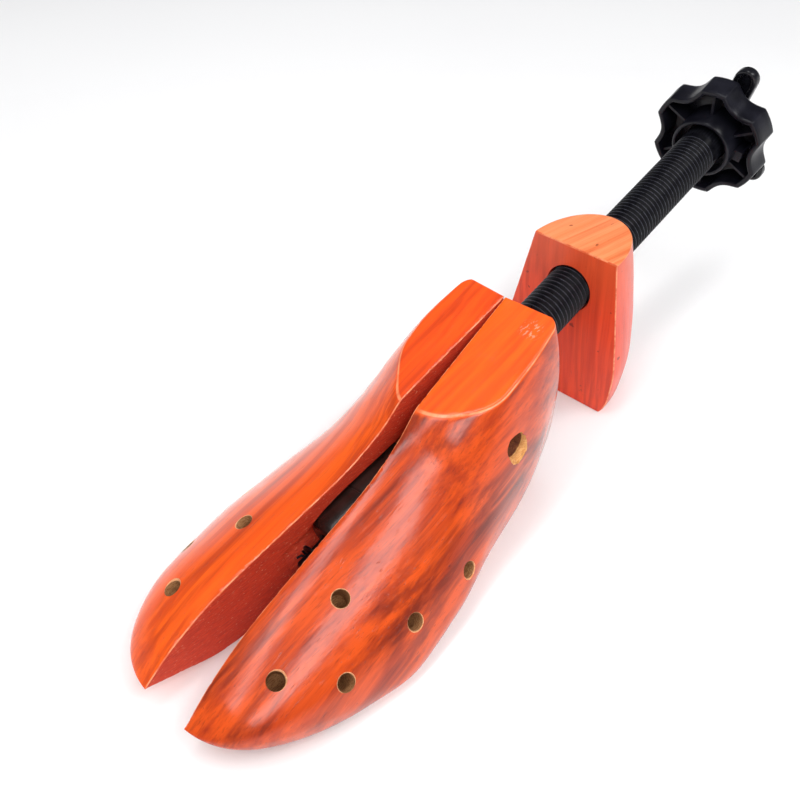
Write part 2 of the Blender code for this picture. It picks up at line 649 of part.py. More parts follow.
nose = EXPANDER_NOSE
tail = nose + EXPANDER_LENGTH
seam = nose + 2 * EXPANDER_RADIUS
expander_profile = [(EXPANDER_RADIUS - 0.0005, tail), (EXPANDER_RADIUS, tail - 0.0005),
                    (EXPANDER_RADIUS, seam + 0.0004), (EXPANDER_RADIUS - 0.0003, seam),
                    (EXPANDER_RADIUS, seam - 0.0004), (EXPANDER_RADIUS, nose + EXPANDER_CHAMFER),
                    (EXPANDER_RADIUS - 0.0010, nose + 0.0012),
                    (EXPANDER_RADIUS - EXPANDER_CHAMFER, nose), (ROD_RADIUS + FIT_GAP, nose),
                    (ROD_RADIUS + FIT_GAP, tail)]
turned("expander", expander_profile, SHAFT, black_plastic("expander"), steps=32)

ring("rod_tip_washer", ROD_RADIUS + FIT_GAP, 0.0054, -0.1074, -0.1065, SHAFT,
     black_steel("rod_tip_washer"))
PIN_STATION = -0.1087
combine(inner_rod, rod_between("rod_split_pin_cut", (-0.006, 0.0, PIN_STATION),
                               (0.006, 0.0, PIN_STATION), 0.0014, SHAFT, cutter=True, steps=12))


def split_pin():
    """One bent wire: two legs through the rod's tip, spread on one side, an eye on the other."""
    wire = bpy.data.curves.new("split_pin", "CURVE")
    wire.dimensions = "3D"
    wire.bevel_depth = 0.00045
    wire.bevel_resolution = 1
    wire.use_fill_caps = True
    leg = 0.00055
    eye = [(0.0044 + 0.0009 * math.cos(a), 0.0009 * math.sin(a))
           for a in [math.radians(130 - 26 * k) for k in range(11)]]
    route = [(-0.0052, 0.0008), (-0.0040, leg), (0.0034, leg), *eye, (0.0034, -leg), (-0.0036, -leg),
             (-0.0045, -0.0014), (-0.0049, -0.0026)]
    line = wire.splines.new("POLY")
    line.points.add(len(route) - 1)
    for point, (across, along) in zip(line.points, route):
        point.co = (across, 0.0, PIN_STATION + along, 1.0)
    return place(bpy.data.objects.new("split_pin", wire), SHAFT, bright_steel("split_pin"))


split_pin()

for piece in PARTS.objects:
    if piece.type == "MESH":
        piece.data.shade_smooth()
        piece.data.set_sharp_from_angle(angle=math.radians(35))
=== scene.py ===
"""Looks of the shoe tree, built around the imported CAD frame. Metres, +Z up, toe towards -Y."""

import math

import bmesh
import bpy
import numpy as np
from mathutils import Matrix, Vector, noise
from mathutils.bvhtree import BVHTree


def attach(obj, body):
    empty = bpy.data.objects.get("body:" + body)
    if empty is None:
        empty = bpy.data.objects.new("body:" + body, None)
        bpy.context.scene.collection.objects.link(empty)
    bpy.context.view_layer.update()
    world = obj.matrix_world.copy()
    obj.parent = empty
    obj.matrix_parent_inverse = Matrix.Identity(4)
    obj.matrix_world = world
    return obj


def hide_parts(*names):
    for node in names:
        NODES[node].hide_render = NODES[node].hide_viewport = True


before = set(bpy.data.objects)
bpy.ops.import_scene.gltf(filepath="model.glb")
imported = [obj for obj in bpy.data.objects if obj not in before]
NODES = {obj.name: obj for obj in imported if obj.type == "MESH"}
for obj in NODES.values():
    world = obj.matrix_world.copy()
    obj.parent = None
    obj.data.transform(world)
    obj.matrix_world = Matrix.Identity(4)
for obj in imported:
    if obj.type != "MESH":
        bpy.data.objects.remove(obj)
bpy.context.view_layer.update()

# Places shared with the CAD, in metres. The halves' hinge line is at their rear face.
MM = 0.001
HINGE_Y = -0.0086
HALF_GAP = 0.00015
OPEN_ANGLE = math.radians(3.27)
SHAFT_HEIGHT = 0.0460
SHAFT_ANGLE = math.radians(12.25)
# In millimetres: heights from the floor, and places along the shaft from the hinge line.
TOP_HEIGHT, TOP_SLOPE = 79.1, 0.30
BLOCK_TOP = 76.9
BLOCK_FRONT = 48.95
PIN_HOLE_RADIUS = 1.4
TIP_PIN_STATION, KEY_PIN_STATION = -108.7, 188.8
SHAFT = (Matrix.Translation((0.0, HINGE_Y, SHAFT_HEIGHT))
         @ Matrix.Rotation(SHAFT_ANGLE - math.pi / 2, 4, "X"))
EDGE_ANGLE, TURNED_EDGE_ANGLE, WIRE_EDGE_ANGLE = 38.0, 50.0, 60.0
WORK = bpy.data.collections.new("pieces")
bpy.context.scene.collection.children.link(WORK)


# ---- mesh helpers
def new_object(name, mesh, matrix=Matrix.Identity(4)):
    made = bpy.data.objects.new(name, mesh)
    made.matrix_world = matrix
    WORK.objects.link(made)
    return made


def from_lists(name, points, faces, matrix, finish):
    """An object from points in millimetres, with its faces turned outwards."""
    mesh = bpy.data.meshes.new(name)
    mesh.from_pydata([tuple(MM * float(c) for c in p) for p in points], [], faces)
    work = bmesh.new()
    work.from_mesh(mesh)
    bmesh.ops.recalc_face_normals(work, faces=work.faces)
    work.to_mesh(mesh)
    work.free()
    mesh.materials.append(finish)
    return new_object(name, mesh, matrix)


def loft(name, loops, matrix, finish, ring=False):
    """Quads between loops of equal length (millimetres), with end caps or closed as a ring."""
    loops = np.asarray(loops, float)
    rows, count = loops.shape[:2]
    faces = []
    for i in range(rows if ring else rows - 1):
        a, b = i * count, ((i + 1) % rows) * count
        faces += [(a + j, a + (j + 1) % count, b + (j + 1) % count, b + j)
                  for j in range(count)]
    if not ring:
        faces += [tuple(range(count)), tuple(range((rows - 1) * count, rows * count))]
    return from_lists(name, loops.reshape(-1, 3), faces, matrix, finish)


def round_loop(radius, station, steps):
    turn = np.arange(steps) * math.tau / steps
    return np.stack([radius * np.cos(turn), -radius * np.sin(turn), np.full(steps, station)], -1)


def turned(name, profile, steps, matrix, finish):
    """A closed profile of (radius, station) in millimetres, turned about the matrix's Z."""
    solid = profile[0][0] == 0.0
    body = profile[1:-1] if solid else profile
    return loft(name, [round_loop(r, s, steps) for r, s in body], matrix, finish, ring=not solid)


def rod_between(name, radius, first, last, steps, matrix, finish):
    """A plain rod between two stations, used only to cut with."""
    profile = [(0.0, first), (radius, first), (radius, last), (0.0, last)]
    return turned(name, profile, steps, matrix, finish)


def box_between(name, low, high, matrix, finish, taper=1.0):
    """A box whose low end is narrower along Y by the taper."""
    corners = [(low[0], low[1]), (high[0], low[1]), (high[0], high[1]), (low[0], high[1])]
    ends = [[(x, y * share, z) for x, y in corners]
            for z, share in ((low[2], taper), (high[2], 1.0))]
    return loft(name, ends, matrix, finish)


def across_shaft(station, heading):
    """A matrix whose Z lies across the shaft at a station (millimetres)."""
    return (SHAFT @ Matrix.Rotation(heading, 4, "Z")
            @ Matrix.Translation((0.0, 0.0, station * MM)) @ Matrix.Rotation(math.pi / 2, 4, "Y"))


def settle(piece, smooth_angle=EDGE_ANGLE):
    """Applies a piece's modifiers and smooths it except at its edges."""
    view = bpy.context.evaluated_depsgraph_get()
    mesh = bpy.data.meshes.new_from_object(piece.evaluated_get(view))
    old = piece.data
    piece.modifiers.clear()
    piece.data = mesh
    mesh.name = old.name + "_mesh"
    mesh.shade_smooth()
    mesh.set_sharp_from_angle(angle=math.radians(smooth_angle))
    return piece


def carve(piece, others, operation="DIFFERENCE"):
    """Cuts or joins other objects into a piece and removes them; their finish goes on the cut."""
    for other in others:
        boolean = piece.modifiers.new(other.name, "BOOLEAN")
        boolean.operation = operation
        boolean.solver = "MANIFOLD"
        boolean.object = other
        boolean.material_mode = "TRANSFER"
    bpy.context.view_layer.update()
    settle(piece)
    for other in others:
        bpy.data.objects.remove(other, do_unlink=True)
    return piece


def seat(piece, body, node):
    """Puts a finished piece in the row frame, on its body and in place of its CAD node."""
    piece.data.transform(piece.matrix_world)
    piece.matrix_world = Matrix.Identity(4)
    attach(piece, body)
    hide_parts(node)


def smooth_through(points, x):
    """A curve through the points that never overshoots them."""
    xs = np.array([p[0] for p in points], float)
    ys = np.array([p[1] for p in points], float)
    x = np.clip(x, xs[0], xs[-1])
    slope = np.diff(ys) / np.diff(xs)
    tangent = np.concatenate([[slope[0]], np.zeros(len(xs) - 2), [slope[-1]]])
    for i in range(1, len(xs) - 1):
        product = slope[i - 1] * slope[i]
        tangent[i] = 2 * product / (slope[i - 1] + slope[i]) if product > 0 else 0.0
    i = np.clip(np.searchsorted(xs, x, side="right") - 1, 0, len(xs) - 2)
    w = xs[i + 1] - xs[i]
    t = (x - xs[i]) / w
    return ((1 + 2 * t) * (1 - t) ** 2 * ys[i] + t * (1 - t) ** 2 * w * tangent[i]
            + t * t * (3 - 2 * t) * ys[i + 1] + t * t * (t - 1) * w * tangent[i + 1])


def soft_min(a, b, reach):
    """The lower of two heights, rounded where they meet."""
    near = np.maximum(reach - np.abs(a - b), 0.0) / reach
    return np.minimum(a, b) - near * near * reach * 0.25


def shrink(outline, inset):
    """A closed outline moved inwards by a small amount (either winding)."""
    if inset <= 0:
        return outline
    before = np.roll(outline, 1, 0)
    after = np.roll(outline, -1, 0)
    along = after - before
    along /= np.maximum(np.linalg.norm(along, axis=1), 1e-9)[:, None]
    area = np.sum(outline[:, 0] * after[:, 1] - after[:, 0] * outline[:, 1])
    inward = np.stack([-along[:, 1], along[:, 0]], -1) * (1 if area > 0 else -1)
    return outline + inward * inset


# ---- material helpers
class Shader:
    """Builds a node tree a call at a time; a socket passed as an input is linked."""

    def __init__(self, name, home=((0.0, 0.0, 0.0), (0.0, 0.0, 0.0))):
        self.home = home
        self.material = bpy.data.materials.new(name)
        self.material.use_nodes = True
        self.tree = self.material.node_tree
        self.surface = self.tree.nodes["Principled BSDF"]

    def put(self, socket, value):
        if isinstance(value, bpy.types.NodeSocket):
            self.tree.links.new(value, socket)
        else:
            socket.default_value = value

    def add(self, kind, inputs=(), output=0, **settings):
        made = self.tree.nodes.new("ShaderNode" + kind)
        for key, value in settings.items():
            setattr(made, key, value)
        for key, value in dict(inputs).items():
            self.put(made.inputs[key], value)
        return made.outputs[output]

    def math(self, operation, a, b):
        return self.add("Math", {0: a, 1: b}, operation=operation)

    def vector(self, operation, a, b=(0.0, 0.0, 0.0)):
        output = 1 if operation in ("LENGTH", "DISTANCE", "DOT_PRODUCT") else 0
        return self.add("VectorMath", {0: a, 1: b}, output, operation=operation)

    def place(self, scale=(1.0, 1.0, 1.0), turn=(0.0, 0.0, 0.0), shift=(0.0, 0.0, 0.0)):
        """Millimetres in the piece's own frame, turned and then scaled."""
        here = self.add("TexCoord", output=3)
        here = self.add("Mapping",
                        {0: here, 1: self.home[0], 2: self.home[1], 3: (MM, MM, MM)},
                        vector_type="TEXTURE")
        if any(turn) or any(shift):
            here = self.add("Mapping", {0: here, 1: shift, 2: turn})
        return here if scale == (1.0, 1.0, 1.0) else self.vector("MULTIPLY", here, scale)

    def noise(self, where, detail, roughness, output=0):
        inputs = {"Vector": where, "Scale": 1.0, "Detail": detail, "Roughness": roughness}
        return self.add("TexNoise", inputs, output)

    def remap(self, value, low, high, to_low=0.0, to_high=1.0):
        inputs = {0: value, 1: low, 2: high, 3: to_low, 4: to_high}
        return self.add("MapRange", inputs, interpolation_type="SMOOTHSTEP")

    def mix(self, share, a, b):
        """Mixes colours, each a socket or (red, green, blue)."""
        a, b = (c if isinstance(c, bpy.types.NodeSocket) else (*c, 1.0) for c in (a, b))
        return self.add("Mix", {0: share, 6: a, 7: b}, 2, data_type="RGBA")

    def bump(self, height, distance, strength):
        return self.add("Bump", {"Strength": strength, "Distance": distance, "Height": height})

    def set(self, **values):
        for key, value in values.items():
            self.put(self.surface.inputs[key.replace("_", " ")], value)
        return self.material


def grain(shader, turn, shift):
    """Wood structure along Y, from 0 to 1: broad streaks, narrow streaks, fibres and pores."""
    sway = shader.noise(shader.place((0.016, 0.007, 0.016), turn, shift), 1.0, 0.5, output=1)
    sway = shader.vector("SUBTRACT", sway, (0.5, 0.5, 0.5))

    def layer(across, along, push, detail, roughness):
        here = shader.place((across, along, across * 0.55), turn, shift)
        moved = shader.add("VectorMath", {0: sway, 3: push}, operation="SCALE")
        return shader.noise(shader.vector("ADD", here, moved), detail, roughness)

    return (layer(0.085, 0.0075, 1.9, 3.0, 0.50), layer(0.34, 0.011, 6.5, 4.0, 0.55),
            layer(1.7, 0.045, 22.0, 4.0, 0.60), layer(3.2, 0.17, 30.0, 2.0, 0.50))


def along_streaks(shader, colours, layers, strength):
    """Stain colours laid along the streaks and fibres."""
    light, mid, dark = colours
    broad, narrow, fibres, pores = layers
    deep = shader.math("MULTIPLY", shader.remap(broad, 0.42, 0.66),
                       shader.remap(narrow, 0.30, 0.62))
    colour = shader.mix(shader.remap(narrow, 0.34, 0.66), light, mid)
    colour = shader.mix(shader.math("MULTIPLY", deep, 0.80 * strength), colour, dark)
    veins = shader.remap(narrow, 0.60, 0.72, 0.0, 0.55 * strength)
    colour = shader.mix(veins, colour, dark)
    darker = shader.remap(fibres, 0.52, 0.74, 0.0, 0.42 * strength)
    colour = shader.mix(darker, colour, dark)
    lighter = shader.remap(fibres, 0.24, 0.42, 0.30 * strength, 0.0)
    colour = shader.mix(lighter, colour, light)
    speck = [0.40 * c for c in dark]
    return shader.mix(shader.remap(pores, 0.67, 0.75, 0.0, 0.55 * strength), colour, speck)


def varnish(shader, layers, gloss):
    """Clear coat that follows the fibres a little and has a slight orange peel."""
    fibres, pores = layers[2:]
    relief = shader.math("MULTIPLY", shader.remap(pores, 0.62, 0.78), -0.8)
    relief = shader.math("ADD", relief, shader.math("MULTIPLY", fibres, 0.6))
    peel = shader.noise(shader.place((0.30, 0.12, 0.30)), 2.0, 0.5)
    skin = shader.math("ADD", relief, shader.math("MULTIPLY", peel, 1.6))
    shader.set(Roughness=shader.remap(fibres, 0.2, 0.8, 0.50, 0.38), Specular_IOR_Level=0.12,
               Normal=shader.bump(relief, 0.12 * MM, 0.6), Coat_Weight=gloss,
               Coat_Roughness=0.17, Coat_Normal=shader.bump(skin, 0.07 * MM, 0.55))


def stained_wood(name, side, colours, flat_colours, turn, shift, strength, marks):
    """Orange-red stain under clear varnish; the planed top flat is brighter and plainer.

    Marks are (centre, reach) of pale scuffs."""
    shader = Shader(name, ((side * HALF_GAP, HINGE_Y, 0.0), (0.0, 0.0, side * OPEN_ANGLE)))
    layers = grain(shader, turn, shift)
    colour = along_streaks(shader, colours, layers, strength)
    plain = along_streaks(shader, flat_colours, layers, FLAT_STRENGTH)
    level = shader.vector("DOT_PRODUCT", shader.place(), (0.0, -TOP_SLOPE, 1.0))
    level = shader.math("SUBTRACT", level, TOP_HEIGHT)
    colour = shader.mix(shader.remap(level, -1.1, -0.35), colour, plain)
    # A pale band along the rounded edge of the top flat, broken up by noise: a painted highlight,
    # and wear.
    breaks = shader.noise(shader.place((0.20, 0.10, 0.20)), 3.0, 0.6)
    edge_highlight_and_wear = shader.math("MULTIPLY", shader.remap(level, -0.58, -0.40),
                         shader.remap(level, -0.26, -0.12, 1.0, 0.0))
    edge_highlight_and_wear = shader.math("MULTIPLY", edge_highlight_and_wear, shader.remap(breaks, 0.30, 0.60, 0.15, 0.80))
    colour = shader.mix(edge_highlight_and_wear, colour, EDGE_HIGHLIGHT_AND_WEAR)
    for centre, reach in marks:
        near = shader.vector("DISTANCE", shader.place(), centre)
        scuff = shader.noise(shader.place((1.3, 0.22, 1.3), (0.0, 0.0, 0.20)), 2.0, 0.5)
        share = shader.math("MULTIPLY", shader.remap(near, reach * 0.4, reach, 1.0, 0.0),
                            shader.remap(scuff, 0.56, 0.66, 0.0, 0.65))
        colour = shader.mix(share, colour, SCUFF)
    varnish(shader, layers, 1.0)
    return shader.set(Base_Color=colour)


def block_wood(name):
    """The heel block: red-brown sides, a paler planed top with open end grain and a few knots."""
    shader = Shader(name, ((0.0, HINGE_Y + BLOCK_FRONT * MM, 0.0), (0.0, 0.0, 0.0)))
    upright = grain(shader, (math.radians(86), 0.03, 0.05), (20.0, 8.0, 5.0))
    colour = along_streaks(shader, BLOCK_SIDES, upright, 0.45)
    across = grain(shader, (0.0, 0.0, 0.18), (5.0, 3.0, 90.0))
    top = along_streaks(shader, BLOCK_END_GRAIN, across, 0.6)
    height = shader.add("SeparateXYZ", {0: shader.place()}, 2)
    colour = shader.mix(shader.remap(height, BLOCK_TOP - 0.9, BLOCK_TOP - 0.25), colour, top)
    upper = shader.remap(height, 45.0, 76.0, 0.0, 0.55)
    colour = shader.mix(upper, colour, BLOCK_UPPER)
    colour = shader.mix(shader.remap(height, BLOCK_TOP - 0.6, BLOCK_TOP - 0.2), colour, top)
    where = shader.place((0.22, 0.13, 0.22), (0.0, 0.0, 0.2), (7.0, 1.0, 0.0))
    knots = shader.remap(shader.noise(where, 2.0, 0.5), 0.70, 0.76, 0.0, 0.75)
    colour = shader.mix(knots, colour, KNOT)
    varnish(shader, upright, 0.55)
    return shader.set(Base_Color=colour)


def sawn_wood(name):
    """The unvarnished sawn faces: the stain soaked in dark, with pale lifted fibres."""
    shader = Shader(name)
    saw = shader.noise(shader.place((0.55, 0.35, 2.6)), 4.0, 0.65)
    fibre = shader.noise(shader.place((2.0, 0.22, 2.4)), 4.0, 0.6)
    specks = shader.noise(shader.place((1.6, 0.8, 1.9)), 2.0, 0.5)
    soaked, plain, lifted, pale = SAWN
    colour = shader.mix(shader.remap(fibre, 0.3, 0.7), soaked, plain)
    colour = shader.mix(shader.remap(saw, 0.55, 0.78, 0.0, 0.5), colour, lifted)
    colour = shader.mix(shader.remap(specks, 0.63, 0.72, 0.0, 0.6), colour, pale)
    height = shader.math("ADD", saw, shader.math("MULTIPLY", fibre, 0.8))
    return shader.set(Base_Color=colour, Roughness=0.72,
                      Normal=shader.bump(height, 0.35 * MM, 0.9))


def raw_wood(name, low, high):
    """Drilled or torn wood that the stain hardly reached."""
    shader = Shader(name)
    fibre = shader.noise(shader.place((2.6, 0.30, 2.6)), 4.0, 0.6)
    burn = shader.noise(shader.place((0.5, 0.4, 0.5)), 3.0, 0.6)
    colour = shader.mix(shader.remap(fibre, 0.3, 0.7), low, high)
    dark = (low[0] * 0.5, low[1] * 0.45, low[2] * 0.4)
    colour = shader.mix(shader.remap(burn, 0.50, 0.75, 0.0, 0.6), colour, dark)
    return shader.set(Base_Color=colour, Roughness=0.8,
                      Normal=shader.bump(fibre, 0.3 * MM, 0.9))


def pale_edge_highlight_and_wear(name, base, pale):
    """A varnished corner painted pale along it: a painted highlight on the rounded edge, and the
    stain thinned by wear.
    """
    shader = Shader(name)
    breaks = shader.noise(shader.place((0.30, 0.16, 0.30)), 3.0, 0.6)
    colour = shader.mix(shader.remap(breaks, 0.36, 0.62), base, pale)
    return shader.set(Base_Color=colour, Roughness=0.42, Coat_Weight=0.7, Coat_Roughness=0.15)


def moulded(name, colour, roughness, texture=1.0, coat=0.0):
    """Black plastic with a fine moulded skin, faint flow marks and dust."""
    shader = Shader(name)
    skin = shader.noise(shader.place((3.2, 3.2, 3.2)), 2.0, 0.5)
    flow = shader.noise(shader.place((0.10, 0.10, 0.10)), 3.0, 0.5)
    dust = shader.noise(shader.place((1.3, 1.3, 1.3)), 3.0, 0.6)
    lighter = [c * 1.9 + 0.002 for c in colour]
    tone = shader.mix(shader.remap(flow, 0.35, 0.70), colour, lighter)
    tone = shader.mix(shader.remap(dust, 0.72, 0.80, 0.0, 0.35), tone, DUST)
    sheen = shader.remap(flow, 0.3, 0.7, roughness - 0.05, roughness + 0.07)
    return shader.set(Base_Color=tone, Roughness=sheen, Coat_Weight=coat, Coat_Roughness=0.12,
                      Specular_IOR_Level=0.22,
                      Normal=shader.bump(skin, 0.05 * MM * texture, 0.6))


def coated_thread(name, radius):
    """Black coating, painted a little brighter near the radius of the thread's crests, in patches:
    a painted highlight along the crests.
    """
    shader = Shader(name, ((0.0, HINGE_Y, SHAFT_HEIGHT), (SHAFT_ANGLE - math.pi / 2, 0.0, 0.0)))
    across = shader.vector("MULTIPLY", shader.place(), (1.0, 1.0, 0.0))
    reach = shader.vector("LENGTH", across)
    rub = shader.noise(shader.place((0.5, 0.5, 0.5)), 4.0, 0.6)
    # The band at the crests' radius is a painted highlight, broken into patches by noise.
    crest = shader.remap(reach, radius - 0.14, radius)
    painted_crest_highlight = shader.math("MULTIPLY", crest, shader.remap(rub, 0.35, 0.70, 0.25, 1.0))
    tone = shader.mix(painted_crest_highlight, COATING, COATING_CREST_HIGHLIGHT)
    fine = shader.noise(shader.place((2.4, 2.4, 2.4)), 2.0, 0.5)
    return shader.set(Base_Color=tone, Roughness=shader.remap(rub, 0.3, 0.7, 0.27, 0.40),
                      Specular_IOR_Level=0.18, Normal=shader.bump(fine, 0.03 * MM, 0.6))


def metal(name, colour, roughness):
    """Plain steel with turning marks and slight tarnish."""
    shader = Shader(name)
    marks = shader.noise(shader.place((1.2, 1.2, 9.0)), 3.0, 0.6)
    stain = shader.noise(shader.place((0.25, 0.25, 0.25)), 3.0, 0.6)
    tone = shader.mix(shader.remap(stain, 0.40, 0.70, 0.0, 0.5), colour,
                      [c * 0.55 for c in colour])
    sheen = shader.remap(marks, 0.3, 0.7, roughness - 0.07, roughness + 0.10)
    return shader.set(Base_Color=tone, Roughness=sheen, Metallic=1.0,
                      Normal=shader.bump(marks, 0.02 * MM, 0.6))


# Stains are (light, middle, dark).
NEAR = ((0.71, 0.079, 0.005), (0.43, 0.037, 0.004), (0.12, 0.011, 0.003))
FAR = ((0.92, 0.115, 0.005), (0.78, 0.078, 0.004), (0.36, 0.030, 0.004))
FLAT_NEAR = ((0.97, 0.128, 0.005), (0.90, 0.094, 0.004), (0.60, 0.050, 0.004))
FLAT_FAR = ((0.93, 0.092, 0.004), (0.82, 0.064, 0.004), (0.42, 0.030, 0.004))
FLAT_STRENGTH = 0.55
# The first colour is the pale band along the top flat's rounded edge, a painted highlight and
# wear; the second is for pale scuffs.
EDGE_HIGHLIGHT_AND_WEAR, SCUFF = (0.93, 0.36, 0.16), (0.90, 0.42, 0.28)
BLOCK_SIDES = ((0.90, 0.085, 0.028), (0.76, 0.060, 0.022), (0.42, 0.030, 0.012))
BLOCK_END_GRAIN = ((0.97, 0.30, 0.120), (0.90, 0.22, 0.070), (0.52, 0.075, 0.020))
BLOCK_UPPER, KNOT = (0.74, 0.115, 0.035), (0.18, 0.020, 0.008)
SAWN = ((0.52, 0.026, 0.006), (0.74, 0.060, 0.014), (0.80, 0.110, 0.030), (0.84, 0.36, 0.20))
DUST = (0.12, 0.11, 0.10)
# The second colour is a painted highlight for the thread's crests.
COATING, COATING_CREST_HIGHLIGHT = (0.002, 0.002, 0.0035), (0.085, 0.090, 0.115)
FINISH = {
    "right": stained_wood("varnished_wood_right", 1, NEAR, FLAT_NEAR, (-0.33, 0.05, 0.09),
                          (9.0, 3.0, 31.0), 1.0,
                          [((16.6, -8.3, 76.6), 5.5), ((22.0, -33.0, 60.0), 3.0)]),
    "left": stained_wood("varnished_wood_left", -1, FAR, FLAT_FAR, (-0.30, 0.0, -0.06),
                         (61.0, 17.0, 48.0), 0.75, []),
    "block": block_wood("varnished_wood_block"),
    "sawn": sawn_wood("sawn_wood"),
    "drilled": raw_wood("drilled_wood", (0.24, 0.085, 0.024), (0.50, 0.26, 0.105)),
    "rim": raw_wood("rim_wood", (0.70, 0.22, 0.07), (0.86, 0.50, 0.26)),
    # The tie hole's wall is painted near-black: painted shade inside the deep hole.
    "tie_hole_shade": raw_wood("tie_hole_wood_painted_shade", (0.10, 0.018, 0.006), (0.28, 0.085, 0.025)),
    "torn": raw_wood("torn_wood", (0.62, 0.22, 0.05), (0.85, 0.47, 0.17)),
    # Pale corner strips: a painted highlight along rounded edges, and wear.
    "edge": pale_edge_highlight_and_wear("wood_edge_highlight_and_wear", (0.70, 0.095, 0.018), (0.88, 0.27, 0.11)),
    "knob": moulded("knob_plastic_black", (0.004, 0.004, 0.007), 0.35, 1.0, 0.12),
    "key": moulded("key_plastic_black", (0.004, 0.004, 0.006), 0.28, 0.6, 0.3),
    "expander": moulded("expander_plastic_brown_black", (0.012, 0.006, 0.005), 0.30, 0.7, 0.3),
    "socket": moulded("socket_plastic_black", (0.006, 0.006, 0.008), 0.45),
    "thread": coated_thread("coated_thread_black", 10.0),
    "dark": coated_thread("coated_rod_black", 6.0),
    "steel": metal("zinc_steel", (0.55, 0.55, 0.54), 0.33),
}


# ---- the two wooden halves
# Curves of (distance from the toe, value): the width, the heights of the crest, the widest line
# and the sole, and how square a section is above and below its widest line.
LAST_LENGTH = 172.4
WIDTH = [(0.0, 0.0), (5.0, 16.4), (20.0, 28.7), (45.0, 38.2), (67.0, 42.9),
         (90.0, 42.0), (117.0, 37.7), (145.0, 35.3), (172.4, 28.5)]
CREST = [(0.0, 12.5), (12.0, 21.7), (30.0, 30.5), (60.0, 38.3), (90.0, 45.7),
         (108.0, 54.5), (117.0, 62.4), (124.0, 68.4), (138.0, 83.0), (172.4, 99.8)]
WIDEST = [(0.0, 12.4), (20.0, 12.1), (45.0, 7.4), (60.0, 6.0), (90.0, 11.5),
          (117.0, 16.4), (135.0, 22.7), (150.0, 35.0), (172.4, 49.3)]
SOLE = [(0.0, 12.2), (12.0, 7.1), (30.0, 0.6), (42.0, -0.2), (172.4, -0.2)]
FULLNESS = {1: [(0.0, 2.2), (100.0, 1.50), (126.0, 2.3), (150.0, 2.0), (172.4, 2.1)],
            -1: [(0.0, 2.2), (100.0, 1.50), (126.0, 1.48), (150.0, 1.44), (172.4, 1.46)]}
LOWER_FULLNESS = [(0.0, 2.4), (10.0, 4.0), (60.0, 3.4), (117.0, 2.3), (172.4, 3.3)]
WIDTH_BY_ROOT = [(math.sqrt(d), w) for d, w in WIDTH]
WIDTH_TRIM = 0.998
REAR_ROUNDING = 5.0
EDGE_ROUNDING = 0.40
FLAT_BLEND = 1.3
FRAY_CORNER, FRAY_FACE, FRAY_DROP = 0.30, 0.10, 0.22
SOLE_STEPS, SIDE_STEPS, FLAT_STEPS, CORNER_STEPS, INNER_STEPS = 26, 36, 20, 3, 22
# Peg holes are (mouth, outward direction) on the right half; the tie hole is (along, up).
PEG_HOLES = [((17.0, -147.6, 25.4), (0.35, -0.25, 0.90)),
             ((16.8, -116.3, 33.0), (0.38, -0.20, 0.90)),
             ((32.1, -132.1, 19.0), (0.72, -0.15, 0.68)),
             ((36.8, -101.7, 20.6), (0.80, -0.10, 0.60)),
             ((37.2, -73.0, 19.3), (0.93, 0.05, 0.36))]
PEG_RADIUS, PEG_DEPTH = 3.1, 11.0
TIE_HOLE = (-38.0, 49.8)
TIE_RADIUS, TIE_FLOOR, TIE_SLIM_RADIUS, TIE_TEAR = 4.8, 10.0, 3.4, 1.3
COUNTERSINK, CUTTER_STEPS = 0.30, 64
TORN_SIDE = math.radians(250)
# Metres outside a hole's mouth, and from the middle, at which the search for the surface starts.
CAST_FROM, TIE_CAST_FROM = 0.010, 0.06
SOCKET_ROOM = [(0.0, 20.0), (10.6, 20.0), (10.6, -3.6), (13.4, -3.6), (13.4, -13.6), (15.4, -13.6),
               (15.4, -19.0), (13.4, -19.0), (13.4, -22.5), (0.0, -22.5)]
POCKET_LOW, POCKET_HIGH = (-4.35, -17.1, -41.2), (4.35, 6.4, -18.7)
EXPANDER_RADIUS, GROOVE_CLEARANCE, GROOVE_RADIUS = 9.5, 0.35, 9.85
GROOVE_START, GROOVE_CURVE = 81.0, 3.567e-3
TIP_ROOM_RADIUS, TIP_ROOM = 6.0, (-99.0, -115.0)


